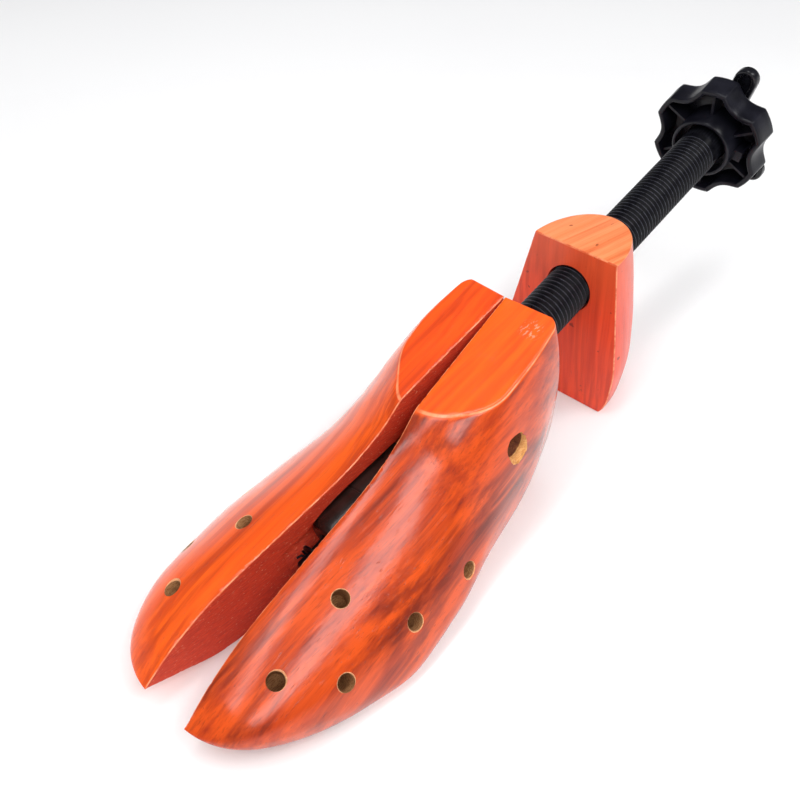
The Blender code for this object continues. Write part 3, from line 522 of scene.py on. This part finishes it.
def half_outline(distance, side):
    """One section of a half, (out, up), from the sole's inner corner over the side and back."""
    width = smooth_through(WIDTH_BY_ROOT, math.sqrt(distance)) * WIDTH_TRIM
    from_rear = LAST_LENGTH - distance
    if from_rear < REAR_ROUNDING:
        inset = REAR_ROUNDING - from_rear
        width -= REAR_ROUNDING - math.sqrt(REAR_ROUNDING ** 2 - inset ** 2)
    crest, widest, sole = (smooth_through(t, distance) for t in (CREST, WIDEST, SOLE))
    upper = smooth_through(FULLNESS[side], distance)
    lower = smooth_through(LOWER_FULLNESS, distance)
    top = TOP_HEIGHT - TOP_SLOPE * from_rear
    # The turn at which the side meets the planed top, or a turn near the crest ahead of it.
    reach = (top - widest) / (crest - widest)
    if reach < 1:
        edge = math.asin(reach ** (upper / 2))
    else:
        edge = math.pi / 2 - min(0.6, 6.0 * (reach - 1))
    corner = min(EDGE_ROUNDING, 0.25 * (min(crest, top) - sole), 0.2 * width)
    last_up = math.acos((corner / width) ** (upper / 2))
    last_down = math.acos((corner / width) ** (lower / 2))
    edge = min(edge, last_up - 0.01)
    # Points crowd together towards the edge of the top.
    low = -last_down * (1 - np.arange(SOLE_STEPS) / SOLE_STEPS)
    share = np.arange(SIDE_STEPS) / SIDE_STEPS
    middle = edge * (1 - (1 - share) ** 1.9)
    share = np.arange(FLAT_STEPS) / (FLAT_STEPS - 1)
    high = edge + (last_up - edge) * share ** 1.7
    turn = np.concatenate([low, middle, high])
    fullness = np.where(turn > 0, upper, lower)
    span = np.where(turn > 0, crest - widest, widest - sole)
    out = width * np.cos(turn) ** (2 / fullness)
    up = widest + np.sign(turn) * span * np.abs(np.sin(turn)) ** (2 / fullness)
    up = np.maximum(soft_min(up, top, FLAT_BLEND), 0.0)
    outline = np.stack([out, up], -1)
    head, foot = outline[-1, 1], outline[0, 1]
    bend = np.radians(90.0 * np.arange(1, CORNER_STEPS + 1) / CORNER_STEPS)
    beside, beyond = corner * (1 - np.sin(bend)), corner * (1 - np.cos(bend))
    head_corner = np.stack([beside, head - beyond], -1)
    foot_corner = np.stack([beside, foot + beyond], -1)[::-1]
    fall = np.linspace(head - corner, foot + corner, INNER_STEPS + 1)[1:-1]
    inner = np.stack([np.zeros_like(fall), fall], -1)
    outline = np.concatenate([outline, head_corner, inner, foot_corner])
    if from_rear < EDGE_ROUNDING:
        gap = EDGE_ROUNDING - from_rear
        left = math.sqrt(max(EDGE_ROUNDING ** 2 - gap ** 2, 0.0))
        outline = shrink(outline, EDGE_ROUNDING - left)
    return outline


def half_stations():
    """Distances from the toe, denser at the toe, at the front of the flat top and at the rear."""
    toe = np.linspace(0.18, math.sqrt(20.0), 34) ** 2
    body = np.arange(20.6, 111.0, 0.6)
    neck = np.arange(111.0, 124.0, 0.33)
    rear = np.arange(124.0, 171.6, 0.6)
    end = LAST_LENGTH - np.array([0.40, 0.28, 0.17, 0.08, 0.0])
    return np.concatenate([toe, body, neck, rear, end])


def rough_cut(points, first_corner, side):
    """Frays the sawn face's edges: lifted and missing fibres, never past the sawn plane."""
    count = len(points)
    for i in range(first_corner, count):
        x, y, z = points[i]
        here = Vector((x * 3.0, y * 0.9, z * 1.1 + side * 40.0))
        tear = max(noise.noise(here) - 0.05, 0.0) + 0.5 * max(noise.noise(here * 2.7), 0.0)
        on_corner = i < first_corner + CORNER_STEPS or i >= count - CORNER_STEPS
        points[i][0] = x + (FRAY_CORNER if on_corner else FRAY_FACE) * tear
        if i < first_corner + CORNER_STEPS:
            points[i][2] = z - FRAY_DROP * tear
    return points


def hole_cutter(name, mouth, outward, radius, depth, finish, rim, ragged=0.0):
    """A drill with a small countersink; a ragged one tears the rim on its lower side."""
    steps = CUTTER_STEPS
    wide = radius + COUNTERSINK
    profile = [(0.02, -depth - radius * 0.5), (radius, -depth), (radius, -depth * 0.5),
               (radius, -COUNTERSINK - ragged), (radius + 0.5 * COUNTERSINK, -COUNTERSINK * 0.55),
               (wide, 0.0), (wide + 1.2, 1.2), (wide + 1.2, 6.0)]
    rim_first, rim_last = 3, 7
    loops = []
    for row, (reach, along) in enumerate(profile):
        loop = round_loop(reach, along, steps)
        if ragged and rim_first <= row <= rim_last:
            for k in range(steps):
                turn = math.tau * k / steps
                x, y = math.cos(turn), math.sin(turn)
                tear = noise.noise(Vector((x * 2.1, y * 2.1, 3.7)))
                tear += 0.6 * noise.noise(Vector((x * 6.0, y * 6.0, 1.3)))
                low_side = 0.5 + 0.5 * math.cos(turn - TORN_SIDE)
                grow = ragged * max(0.15 + 0.9 * tear + 0.9 * low_side ** 2, 0.0)
                grow *= 0.25 if row == rim_first else 1.0
                loop[k, :2] *= (reach + grow) / reach
        loops.append(loop)
    aim = Vector(outward).to_track_quat("Z", "Y").to_matrix().to_4x4()
    cutter = loft(name, loops, Matrix.Translation(Vector(mouth) * MM) @ aim, finish)
    cutter.data.materials.append(rim)
    for face in cutter.data.polygons[rim_first * steps:rim_last * steps]:
        face.material_index = 1
    return cutter


def groove_centre(ahead, side):
    """Sideways from the shaft: the groove runs out of the half gradually towards the toe."""
    rise = GROOVE_CURVE * math.cos(SHAFT_ANGLE) * ahead * (ahead - GROOVE_START)
    return side * (EXPANDER_RADIUS - max(rise, 0.0) + GROOVE_CLEARANCE - GROOVE_RADIUS)


def half_body(name, side, rest, finish):
    """The outer shape with its varnished and sawn faces, and a pale strip on the inner top corner:
    a painted highlight, and wear.
    """
    inner_first = SOLE_STEPS + SIDE_STEPS + FLAT_STEPS
    loops = []
    for distance in half_stations():
        outline = half_outline(distance, side)
        station = np.full(len(outline), distance - LAST_LENGTH)
        points = np.stack([outline[:, 0], station, outline[:, 1]], -1)
        points = rough_cut(points, inner_first, side)
        points[:, 0] *= side
        loops.append(points)
    half = loft(name, loops, rest, finish)
    mesh = half.data
    mesh.materials.append(FINISH["sawn"])
    # The inner top corner strip is painted pale: a painted highlight, and wear.
    mesh.materials.append(FINISH["edge"])
    count = len(loops[0])
    for face in mesh.polygons:
        if len(face.vertices) != 4:
            continue
        places = [v % count for v in face.vertices]
        low, high = min(places), max(places)
        if low >= inner_first + CORNER_STEPS - 1 and high < count - CORNER_STEPS + 1:
            face.material_index = 1
        elif low >= inner_first - 1 and high < inner_first + CORNER_STEPS:
            face.material_index = 2
    return half


def build_half(node, side, finish):
    rest = (Matrix.Translation((side * HALF_GAP, HINGE_Y, 0.0))
            @ Matrix.Rotation(side * OPEN_ANGLE, 4, "Z"))
    half = half_body(node + "_wood", side, rest, finish)
    mesh, sawn = half.data, FINISH["sawn"]
    tree = BVHTree.FromPolygons([v.co for v in mesh.vertices], [p.vertices for p in mesh.polygons])
    cutters = []
    for number, (mouth, outward) in enumerate(PEG_HOLES):
        outward = Vector((side * outward[0], outward[1], outward[2])).normalized()
        mouth = Vector((side * mouth[0], mouth[1], mouth[2])) * MM
        hit = tree.ray_cast(mouth + outward * CAST_FROM, -outward)[0] or mouth
        cutters.append(hole_cutter(f"{node}_drill_{number}", hit / MM, outward, PEG_RADIUS,
                                   PEG_DEPTH, FINISH["drilled"], FINISH["rim"]))
    aside = Vector((side, 0.0, 0.0))
    along, up = TIE_HOLE[0] * MM, TIE_HOLE[1] * MM
    hit = tree.ray_cast(Vector((side * TIE_CAST_FROM, along, up)), -aside)[0]
    depth = abs(hit.x) / MM - TIE_FLOOR
    # The tie hole's wall gets the near-black painted shade; its torn rim is raw wood.
    cutters.append(hole_cutter(node + "_tie_drill", hit / MM, aside, TIE_RADIUS, depth,
                               FINISH["tie_hole_shade"], FINISH["torn"], TIE_TEAR))
    slim = Matrix.Translation((0.0, along, up)) @ Matrix.Rotation(math.pi / 2, 4, "Y")
    cutters.append(rod_between(node + "_tie_slim", TIE_SLIM_RADIUS, -20.0, 20.0, 48, slim, sawn))
    for cutter in cutters:
        cutter.matrix_world = rest @ cutter.matrix_world
    shaft = (rest @ Matrix.Translation((-side * HALF_GAP, 0.0, SHAFT_HEIGHT))
             @ Matrix.Rotation(SHAFT_ANGLE - math.pi / 2, 4, "X"))
    cutters.append(turned(node + "_socket", SOCKET_ROOM, 96, shaft, sawn))
    cutters.append(box_between(node + "_pocket", POCKET_LOW, POCKET_HIGH, shaft, sawn))
    groove = []
    for ahead in [39.0, 60.0, *np.linspace(GROOVE_START, 108.0, 28)]:
        loop = round_loop(GROOVE_RADIUS, -ahead, CUTTER_STEPS)
        groove.append(loop + (groove_centre(ahead, side), 0.0, 0.0))
    cutters.append(loft(node + "_groove", groove, shaft, sawn))
    cutters.append(rod_between(node + "_tip_room", TIP_ROOM_RADIUS, *TIP_ROOM, CUTTER_STEPS, shaft,
                               sawn))
    carve(half, cutters)
    seat(half, "right_half" if side > 0 else "left_half", node)


build_half("last_half_right", 1, FINISH["right"])
build_half("last_half_left", -1, FINISH["left"])


# ---- the heel block
# The curves are (height, value).
BLOCK_HALF_WIDTH = [(0.0, 25.7), (3.0, 27.4), (8.0, 28.7), (20.0, 29.1), (35.0, 27.2),
                    (50.0, 24.5), (65.0, 21.8), (BLOCK_TOP, 19.6)]
BLOCK_DEPTH = [(0.0, 29.0), (3.0, 32.2), (8.0, 36.2), (20.0, 40.3), (35.0, 40.8),
               (50.0, 38.8), (65.0, 35.4), (BLOCK_TOP, 31.3)]
BLOCK_CORNER = 0.45
QUARTER_TURN = np.radians([0.0, 22.5, 45.0, 67.5, 90.0])
BACK_STEPS, BEND_STEPS, FRONT_STEPS = 90, 4, 24
FRONT_FIRST = BACK_STEPS + BEND_STEPS - 1
FRONT_LAST = FRONT_FIRST + FRONT_STEPS + 1
BLOCK_BORE = [(0.0, 110.0), (12.05, 110.0), (12.05, 60.0), (10.7, 60.0), (10.7, 35.0), (0.0, 35.0)]


def block_outline(height):
    """A D with slightly rounded front corners: back arc, left corner, front, right corner."""
    half_width = smooth_through(BLOCK_HALF_WIDTH, height)
    depth = smooth_through(BLOCK_DEPTH, height)
    start = math.asin(BLOCK_CORNER / depth)
    turn = np.linspace(start, math.pi - start, BACK_STEPS)
    back = np.stack([half_width * np.cos(turn), depth * np.sin(turn)], -1)
    bend = QUARTER_TURN[1:]
    centre = half_width - BLOCK_CORNER
    left = np.stack([-centre - BLOCK_CORNER * np.cos(bend), BLOCK_CORNER * (1 - np.sin(bend))], -1)
    along = np.linspace(-centre, centre, FRONT_STEPS + 2)[1:-1]
    front = np.stack([along, np.zeros(FRONT_STEPS)], -1)
    return np.concatenate([back, left, front, left[::-1] * (-1.0, 1.0)])


def block_rows():
    """Heights with how far each row is drawn in to round the top and bottom edges."""
    low = [(BLOCK_CORNER * (1 - math.cos(t)), BLOCK_CORNER * (1 - math.sin(t)))
           for t in QUARTER_TURN]
    body = [(z, 0.0) for z in np.linspace(1.5, BLOCK_TOP - 1.5, 60)]
    high = [(BLOCK_TOP - z, inset) for z, inset in reversed(low)]
    return low + body + high


def build_block():
    loops = []
    for height, inset in block_rows():
        outline = shrink(block_outline(height), inset)
        loops.append(np.concatenate([outline, np.full((len(outline), 1), height)], 1))
    place = Matrix.Translation((0.0, HINGE_Y + BLOCK_FRONT * MM, 0.0))
    block = loft("heel_block_wood", loops, place, FINISH["block"])
    # The front corners and the top front edge are painted pale: a painted highlight, and wear.
    block.data.materials.append(FINISH["edge"])
    count = len(loops[0])
    top_row = len(loops) - len(QUARTER_TURN)
    for face in block.data.polygons:
        if len(face.vertices) != 4:
            continue
        spots = [v % count for v in face.vertices]
        left = all(BACK_STEPS - 1 <= s <= FRONT_FIRST for s in spots)
        right = all(s >= FRONT_LAST or s == 0 for s in spots)
        front = all(FRONT_FIRST <= s <= FRONT_LAST for s in spots)
        on_top = min(v // count for v in face.vertices) >= top_row
        if left or right or (on_top and front):
            face.material_index = 1
    return carve(block, [turned("block_bore", BLOCK_BORE, 128, SHAFT, FINISH["sawn"])])


seat(build_block(), "heel", "heel_block")


# ---- the threaded tube
# The ridge is (share of the pitch, radius); a ring is (radius, station).
PITCH, THREAD_START, THREAD_TURNS, THREAD_STEPS = 2.3, -3.0, 69, 44
TUBE_BORE, TUBE_FRONT, TUBE_REAR = 4.0, -13.0, 175.2
RIDGE = [(0.0, 9.10), (0.10, 9.12), (0.26, 9.50), (0.38, 9.86), (0.46, 9.985), (0.54, 9.985),
         (0.62, 9.86), (0.74, 9.50), (0.90, 9.12)]


def build_tube():
    """A helical ridge over plain ends and a plain bore, closed into one mesh."""
    points, faces = [], []
    steps, rows = THREAD_STEPS, THREAD_STEPS * THREAD_TURNS
    wide = len(RIDGE)

    def spot(k, share, radius):
        angle = -math.tau * k / steps
        return (radius * math.cos(angle), radius * math.sin(angle),
                THREAD_START + PITCH * (k / steps + share))

    for k in range(rows + 1):
        points += [spot(k, share, radius) for share, radius in RIDGE]
    closing = len(points)
    points += [spot(k, 0.0, RIDGE[0][1]) for k in range(rows + 1, rows + steps + 1)]

    def root(k):
        return k * wide if k <= rows else closing + k - rows - 1

    for k in range(rows):
        a, b = k * wide, (k + 1) * wide
        faces += [(a + j, b + j, b + j + 1, a + j + 1) for j in range(wide - 1)]
        faces.append((a + wide - 1, b + wide - 1, root(k + 1 + steps), root(k + steps)))
    end = THREAD_START + PITCH * (THREAD_TURNS + 1) + 0.4
    rings = [(9.6, THREAD_START - 0.4), (9.6, -9.0), (8.8, -9.0), (8.8, -10.8), (9.6, -10.8),
             (9.6, -12.7), (9.3, TUBE_FRONT), (TUBE_BORE, TUBE_FRONT), (TUBE_BORE, TUBE_REAR),
             (9.9, TUBE_REAR), (9.9, end)]
    base = len(points)
    for radius, station in rings:
        turn = -np.arange(steps) * math.tau / steps
        points += [(radius * math.cos(t), radius * math.sin(t), station) for t in turn]
    for i in range(len(rings) - 1):
        a, b = base + i * steps, base + (i + 1) * steps
        faces += [(a + k, a + (k + 1) % steps, b + (k + 1) % steps, b + k) for k in range(steps)]
    last = base + (len(rings) - 1) * steps
    for k in range(steps):
        after = (k + 1) % steps
        faces.append((base + k, base + after, root(k + 1), root(k)))
        faces.append((last + k, last + after, root(rows + k + 1), root(rows + k)))
    faces.append((base, *range(0, wide), root(steps)))
    faces.append((last, *range(rows * wide, rows * wide + wide), root(rows + steps)))
    return from_lists("threaded_tube_fine", points, faces, SHAFT, FINISH["thread"])


seat(settle(build_tube(), TURNED_EDGE_ANGLE), "knob_and_tube", "threaded_tube")


# ---- the star knob
KNOB_RADIUS, NOTCH_DEPTH, NOTCH_HALF = 28.2, 4.3, math.radians(18)
KNOB_FRONT, KNOB_REAR, KNOB_FLOOR = 165.5, 179.3, 176.3
KNOB_STEPS, LOBES = 360, 6
KNOB_BORE = 3.6
SCREW_STATION, SCREW_HEADING, SCREW_RADIUS = 171.2, math.radians(8), 1.8
# Roundings of the rear edge and of the open rim's outer and inner edge, and the wall's insets.
REAR_ROUND, OUTER_ROUND, INNER_ROUND = 2.2, 0.9, 0.8
WALL_DRAFT, WALL_INNER = 0.35, 2.75
RIB, RIB_TAPER = ((14.0, -0.8, 167.6), (26.4, 0.8, 177.0)), 0.75
SCREW_BOSS = ((13.8, -2.7, 167.2), (18.2, 2.7, 177.0))
KNOB_HUB = [(15.6, KNOB_FLOOR), (14.8, KNOB_FLOOR - 0.4), (14.5, KNOB_FLOOR - 1.3), (14.45, 161.2),
            (14.2, 160.7), (13.8, 160.5), (13.2, 160.5), (12.9, 160.7), (12.75, 161.2),
            (12.6, 168.0), (10.3, 168.0), (10.3, 175.8), (KNOB_BORE, 175.8)]


def lobed_loop(station, inset):
    """The knob's outline, with a rounded scallop between every two lobes."""
    turn = np.arange(KNOB_STEPS) * math.tau / KNOB_STEPS
    pitch = math.tau / LOBES
    away = np.abs((turn + pitch / 2) % pitch - pitch / 2)
    reach = np.minimum(away / NOTCH_HALF, 1.0)
    radius = KNOB_RADIUS - 0.05 - NOTCH_DEPTH * (1 - soft_min(reach * reach, 1.0, 0.30))
    outline = np.stack([radius * np.cos(turn), -radius * np.sin(turn)], -1)
    outline = shrink(outline, inset)
    return np.concatenate([outline, np.full((KNOB_STEPS, 1), station)], 1)


def build_knob():
    """The rear face, the outer wall, the open rim, the inner wall and the hub, as one ring."""
    finish = FINISH["knob"]
    loops = [round_loop(KNOB_BORE, KNOB_REAR, KNOB_STEPS)]

    def rounded(station, inset, along, inward, degrees):
        for turn in np.radians(degrees):
            loops.append(lobed_loop(station + along * (1 - math.sin(turn)),
                                    inset + inward * (1 - math.cos(turn))))

    rounded(KNOB_REAR, 0.0, -REAR_ROUND, REAR_ROUND, [90, 72, 54, 36, 18, 0])
    loops += [lobed_loop(s, WALL_DRAFT * (KNOB_REAR - s) / 14.0) for s in (175.0, 172.0, 169.0)]
    rounded(KNOB_FRONT, WALL_DRAFT, OUTER_ROUND, OUTER_ROUND, [0, 30, 60, 90])
    rounded(KNOB_FRONT, WALL_INNER, INNER_ROUND, -INNER_ROUND, [90, 60, 30, 0])
    loops += [lobed_loop(172.0, 2.95), lobed_loop(KNOB_FLOOR - 1.2, 3.1),
              lobed_loop(KNOB_FLOOR - 0.35, 3.5), lobed_loop(KNOB_FLOOR, 4.3)]
    loops += [round_loop(radius, station, KNOB_STEPS) for radius, station in KNOB_HUB]
    knob = loft("star_knob_moulded", loops, SHAFT, finish, ring=True)
    extras = []
    for rib in range(LOBES):
        aim = SHAFT @ Matrix.Rotation(-math.tau * (rib + 0.5) / LOBES, 4, "Z")
        extras.append(box_between(f"knob_rib_{rib}", *RIB, aim, finish, RIB_TAPER))
    aim = SHAFT @ Matrix.Rotation(SCREW_HEADING, 4, "Z")
    extras.append(box_between("knob_boss", *SCREW_BOSS, aim, finish))
    carve(knob, extras, "UNION")
    hole = rod_between("knob_screw_hole", SCREW_RADIUS, 8.0, 20.0, 32,
                       across_shaft(SCREW_STATION, SCREW_HEADING), finish)
    return carve(knob, [hole])


seat(build_knob(), "knob_and_tube", "star_knob")


# ---- the three-armed key
KEY_FIRST_ARM = math.radians(75)
KEY_PIN_HEADING = -(KEY_FIRST_ARM + math.pi / 2)
KEY_TIP, KEY_HALF, KEY_FILLET = 32.45, 5.5, 9.5
KEY_FRONT, KEY_REAR, KEY_ROUND = 181.2, 186.2, 1.2
KEY_BORE = 3.35
KEY_HUB = [(0.0, 191.5), (7.3, 191.5), (7.9, 191.35), (8.35, 190.9), (8.5, 190.3), (8.5, 180.9),
           (8.2, 180.6), (0.0, 180.6)]


def key_outline(inset):
    """Three round-ended arms with filleted valleys between them."""
    half, fillet = KEY_HALF, KEY_FILLET
    points = []
    for arm in range(3):
        heading = KEY_FIRST_ARM + math.tau * arm / 3
        outward = np.array([math.cos(heading), math.sin(heading)])
        for k in range(33):
            turn = heading - math.pi / 2 + math.pi * k / 32
            bulge = half * np.array([math.cos(turn), math.sin(turn)])
            points.append(outward * (KEY_TIP - half) + bulge)
        valley = heading + math.pi / 3
        centre = np.array([math.cos(valley), math.sin(valley)])
        centre = centre * (half + fillet) / math.sin(math.pi / 3)
        for k in range(25):
            turn = valley + math.pi + math.pi / 6 * (1 - k / 12)
            points.append(centre + fillet * np.array([math.cos(turn), math.sin(turn)]))
    outline = np.array(points) * (1.0, -1.0)
    return shrink(outline, inset)


def build_key():
    loops = []

    def row(station, inset):
        outline = key_outline(inset)
        loops.append(np.concatenate([outline, np.full((len(outline), 1), station)], 1))

    finish = FINISH["key"]
    turns = np.radians([15, 45, 75, 100, 130, 155, 180])
    row(KEY_REAR - 1.4, 2.9)
    row(KEY_REAR - KEY_ROUND, 2.65)
    for turn in turns:
        row(KEY_REAR - KEY_ROUND * (1 - math.sin(turn)), 1.3 + 1.3 * math.cos(turn))
    for turn in turns[::-1]:
        row(KEY_FRONT + KEY_ROUND * (1 - math.sin(turn)), 1.3 + 1.3 * math.cos(turn))
    row(KEY_FRONT + KEY_ROUND, 2.65)
    row(KEY_FRONT + 1.4, 2.9)
    key = loft("wing_key_moulded", loops, SHAFT, finish)
    carve(key, [turned("key_hub", KEY_HUB, 96, SHAFT, finish)], "UNION")
    bore = rod_between("key_bore", KEY_BORE, 170.0, 200.0, 64, SHAFT, finish)
    pin_hole = rod_between("key_pin_hole", PIN_HOLE_RADIUS, -12.0, 12.0, 32,
                           across_shaft(KEY_PIN_STATION, KEY_PIN_HEADING), finish)
    carve(key, [bore])
    return carve(key, [pin_hole])


seat(build_key(), "key_and_rod", "wing_key")


# ---- expander, rod and split pin
TAIL = -57.0
EXPANDER = [(9.0, TAIL), (9.35, TAIL - 0.12), (9.49, TAIL - 0.5), (9.49, -80.4), (9.40, -80.65),
            (9.14, -80.8), (9.14, -81.2), (9.40, -81.35), (9.49, -81.6), (9.49, -96.4),
            (9.36, -97.3), (8.96, -98.3), (8.3, -99.15), (7.5, -99.7), (6.6, -99.97),
            (4.6, -99.97), (3.6, -99.8), (3.32, -99.4), (3.32, TAIL)]
ROD = [(0.0, 193.2), (2.4, 193.2), (2.75, 193.05), (3.0, 192.6), (3.0, -112.4), (2.8, -112.8),
       (2.4, -113.0), (0.0, -113.0)]
TIP_WASHER = [(3.32, -107.35), (3.32, -106.55), (3.5, -106.5), (5.15, -106.5), (5.38, -106.62),
              (5.38, -107.28), (5.15, -107.4), (3.5, -107.4)]
PIN_RADIUS, PIN_LEG = 0.45, 0.55

expander = turned("expander_moulded", EXPANDER, 128, SHAFT, FINISH["expander"])
seat(settle(expander, TURNED_EDGE_ANGLE), "wedge", "expander")

rod = turned("inner_rod_round", ROD, 64, SHAFT, FINISH["dark"])
carve(rod, [rod_between(f"rod_{name}_hole", PIN_HOLE_RADIUS, -8.0, 8.0, 32,
                        across_shaft(station, heading), FINISH["dark"])
            for name, station, heading in (("tip", TIP_PIN_STATION, 0.0),
                                           ("key", KEY_PIN_STATION, KEY_PIN_HEADING))])
seat(rod, "key_and_rod", "inner_rod")

washer = turned("rod_tip_washer_round", TIP_WASHER, 64, SHAFT, FINISH["dark"])
seat(settle(washer, TURNED_EDGE_ANGLE), "key_and_rod", "rod_tip_washer")


def build_split_pin():
    """One wire: an eye on one side and two legs bent apart on the other."""
    leg = PIN_LEG
    eye = [(4.4 + 0.9 * math.cos(turn), 0.9 * math.sin(turn))
           for turn in np.radians(130 - 13 * np.arange(21))]
    route = [(-5.2, 0.8), (-4.7, 0.68), (-4.0, leg), (0.0, leg), (3.4, leg), *eye, (3.4, -leg),
             (0.0, -leg), (-3.6, -leg), (-4.2, -0.85), (-4.6, -1.5), (-4.9, -2.6)]
    wire = bpy.data.curves.new("split_pin_wire", "CURVE")
    wire.dimensions = "3D"
    wire.bevel_depth = PIN_RADIUS * MM
    wire.bevel_resolution = 4
    wire.use_fill_caps = True
    line = wire.splines.new("POLY")
    line.points.add(len(route) - 1)
    for point, (across, along) in zip(line.points, route):
        point.co = (across * MM, 0.0, (TIP_PIN_STATION + along) * MM, 1.0)
    wire.materials.append(FINISH["dark"])
    path = new_object("split_pin_path", wire)
    view = bpy.context.evaluated_depsgraph_get()
    mesh = bpy.data.meshes.new_from_object(path.evaluated_get(view))
    bpy.data.objects.remove(path, do_unlink=True)
    return settle(new_object("split_pin_wire", mesh, SHAFT), WIRE_EDGE_ANGLE)


seat(build_split_pin(), "key_and_rod", "split_pin")


# ---- the other CAD nodes keep their shape
KEPT = {"socket": ("heel_nut", "pivot_collar", "collar_bush"),
        "steel": ("tube_retaining_ring", "rod_stop_ring", "thrust_washer", "knob_set_screw",
                  "wing_key_pin", "tie_bolt", "tie_bolt_nut", "tie_washer_left",
                  "tie_washer_right", "tie_spring_left", "tie_spring_right")}
for finish, nodes in KEPT.items():
    for node in nodes:
        mesh = NODES[node].data
        mesh.materials.clear()
        mesh.materials.append(FINISH[finish])


# ---- floor, light and camera
FLOOR_REACH = 1300.0
SKY_LOW, SKY_HIGH = (0.03, (1.0, 1.0, 1.0)), (0.32, (0.085, 0.085, 0.095))


def floor():
    shader = Shader("paper_floor")
    haze = shader.noise(shader.place((0.002, 0.002, 0.002)), 2.0, 0.5)
    tone = shader.mix(shader.remap(haze, 0.3, 0.7), (0.90, 0.90, 0.90), (0.93, 0.93, 0.93))
    paper = shader.set(Base_Color=tone, Roughness=0.85, Specular_IOR_Level=0.15)
    corners = ((-1.0, -1.0), (1.0, -1.0), (1.0, 1.0), (-1.0, 1.0))
    points = [(x * FLOOR_REACH, y * FLOOR_REACH, 0.0) for x, y in corners]
    from_lists("floor", points, [(0, 1, 2, 3)], Matrix.Identity(4), paper)


def area_light(name, place, target, size, power, shiny=True):
    """A softbox at a place, facing the target; the first side of its size lies along Y."""
    lamp = bpy.data.lights.new(name, "AREA")
    lamp.shape = "RECTANGLE"
    lamp.size, lamp.size_y = size
    lamp.energy = power
    made = bpy.data.objects.new(name, lamp)
    bpy.context.scene.collection.objects.link(made)
    made.visible_glossy = shiny
    away = Vector(place) - Vector(target)
    aim = away.to_track_quat("Z", "Y").to_matrix().to_4x4()
    made.matrix_world = Matrix.Translation(place) @ aim


floor()
area_light("overhead_fill", (0.0, 0.0, 1.60), (0.0, 0.0, 0.0), (4.6, 4.6), 48.0, False)
area_light("right_strip", (0.60, -0.32, 1.00), (0.01, -0.32, 0.04), (1.95, 0.34), 10.4)
area_light("top_strip", (-0.13, -0.62, 1.20), (0.01, -0.62, 0.04), (1.80, 0.20), 5.8)


def studio_sky():
    """White at the horizon and dark overhead, so that the varnish reflects the strips alone."""
    world = bpy.data.worlds.new("studio")
    world.use_nodes = True
    tree = world.node_tree
    background = tree.nodes["Background"]
    coords = tree.nodes.new("ShaderNodeTexCoord")
    split = tree.nodes.new("ShaderNodeSeparateXYZ")
    fade = tree.nodes.new("ShaderNodeValToRGB")
    for element, (place, colour) in zip(fade.color_ramp.elements, (SKY_LOW, SKY_HIGH)):
        element.position = place
        element.color = (*colour, 1.0)
    tree.links.new(coords.outputs["Generated"], split.inputs[0])
    tree.links.new(split.outputs["Z"], fade.inputs[0])
    tree.links.new(fade.outputs[0], background.inputs["Color"])
    bpy.context.scene.world = world


studio_sky()
bpy.context.scene.view_settings.view_transform = "Standard"

AZIMUTH, ELEVATION, ROLL = math.radians(40.776), math.radians(43.132), math.radians(0.642)
CAMERA_PLACE = (0.1385, -0.2202 + HINGE_Y, 0.2662)
FOCAL_LENGTH, SENSOR = 37.872, 36.0


def place_camera():
    """The photo's viewpoint, found by fitting the object's outlines."""
    away = Vector((math.sin(AZIMUTH) * math.cos(ELEVATION),
                   -math.cos(AZIMUTH) * math.cos(ELEVATION), math.sin(ELEVATION)))
    level = Vector((math.cos(AZIMUTH), math.sin(AZIMUTH), 0.0))
    upright = away.cross(level)
    right = level * math.cos(ROLL) + upright * math.sin(ROLL)
    up = away.cross(right)
    lens = bpy.data.cameras.new("camera")
    lens.sensor_width = SENSOR
    lens.lens = FOCAL_LENGTH
    lens.clip_start = 0.01
    camera = bpy.data.objects.new("camera", lens)
    bpy.context.scene.collection.objects.link(camera)
    turn = Matrix((right, up, away)).transposed().to_4x4()
    camera.matrix_world = Matrix.Translation(CAMERA_PLACE) @ turn
    bpy.context.scene.camera = camera


place_camera()
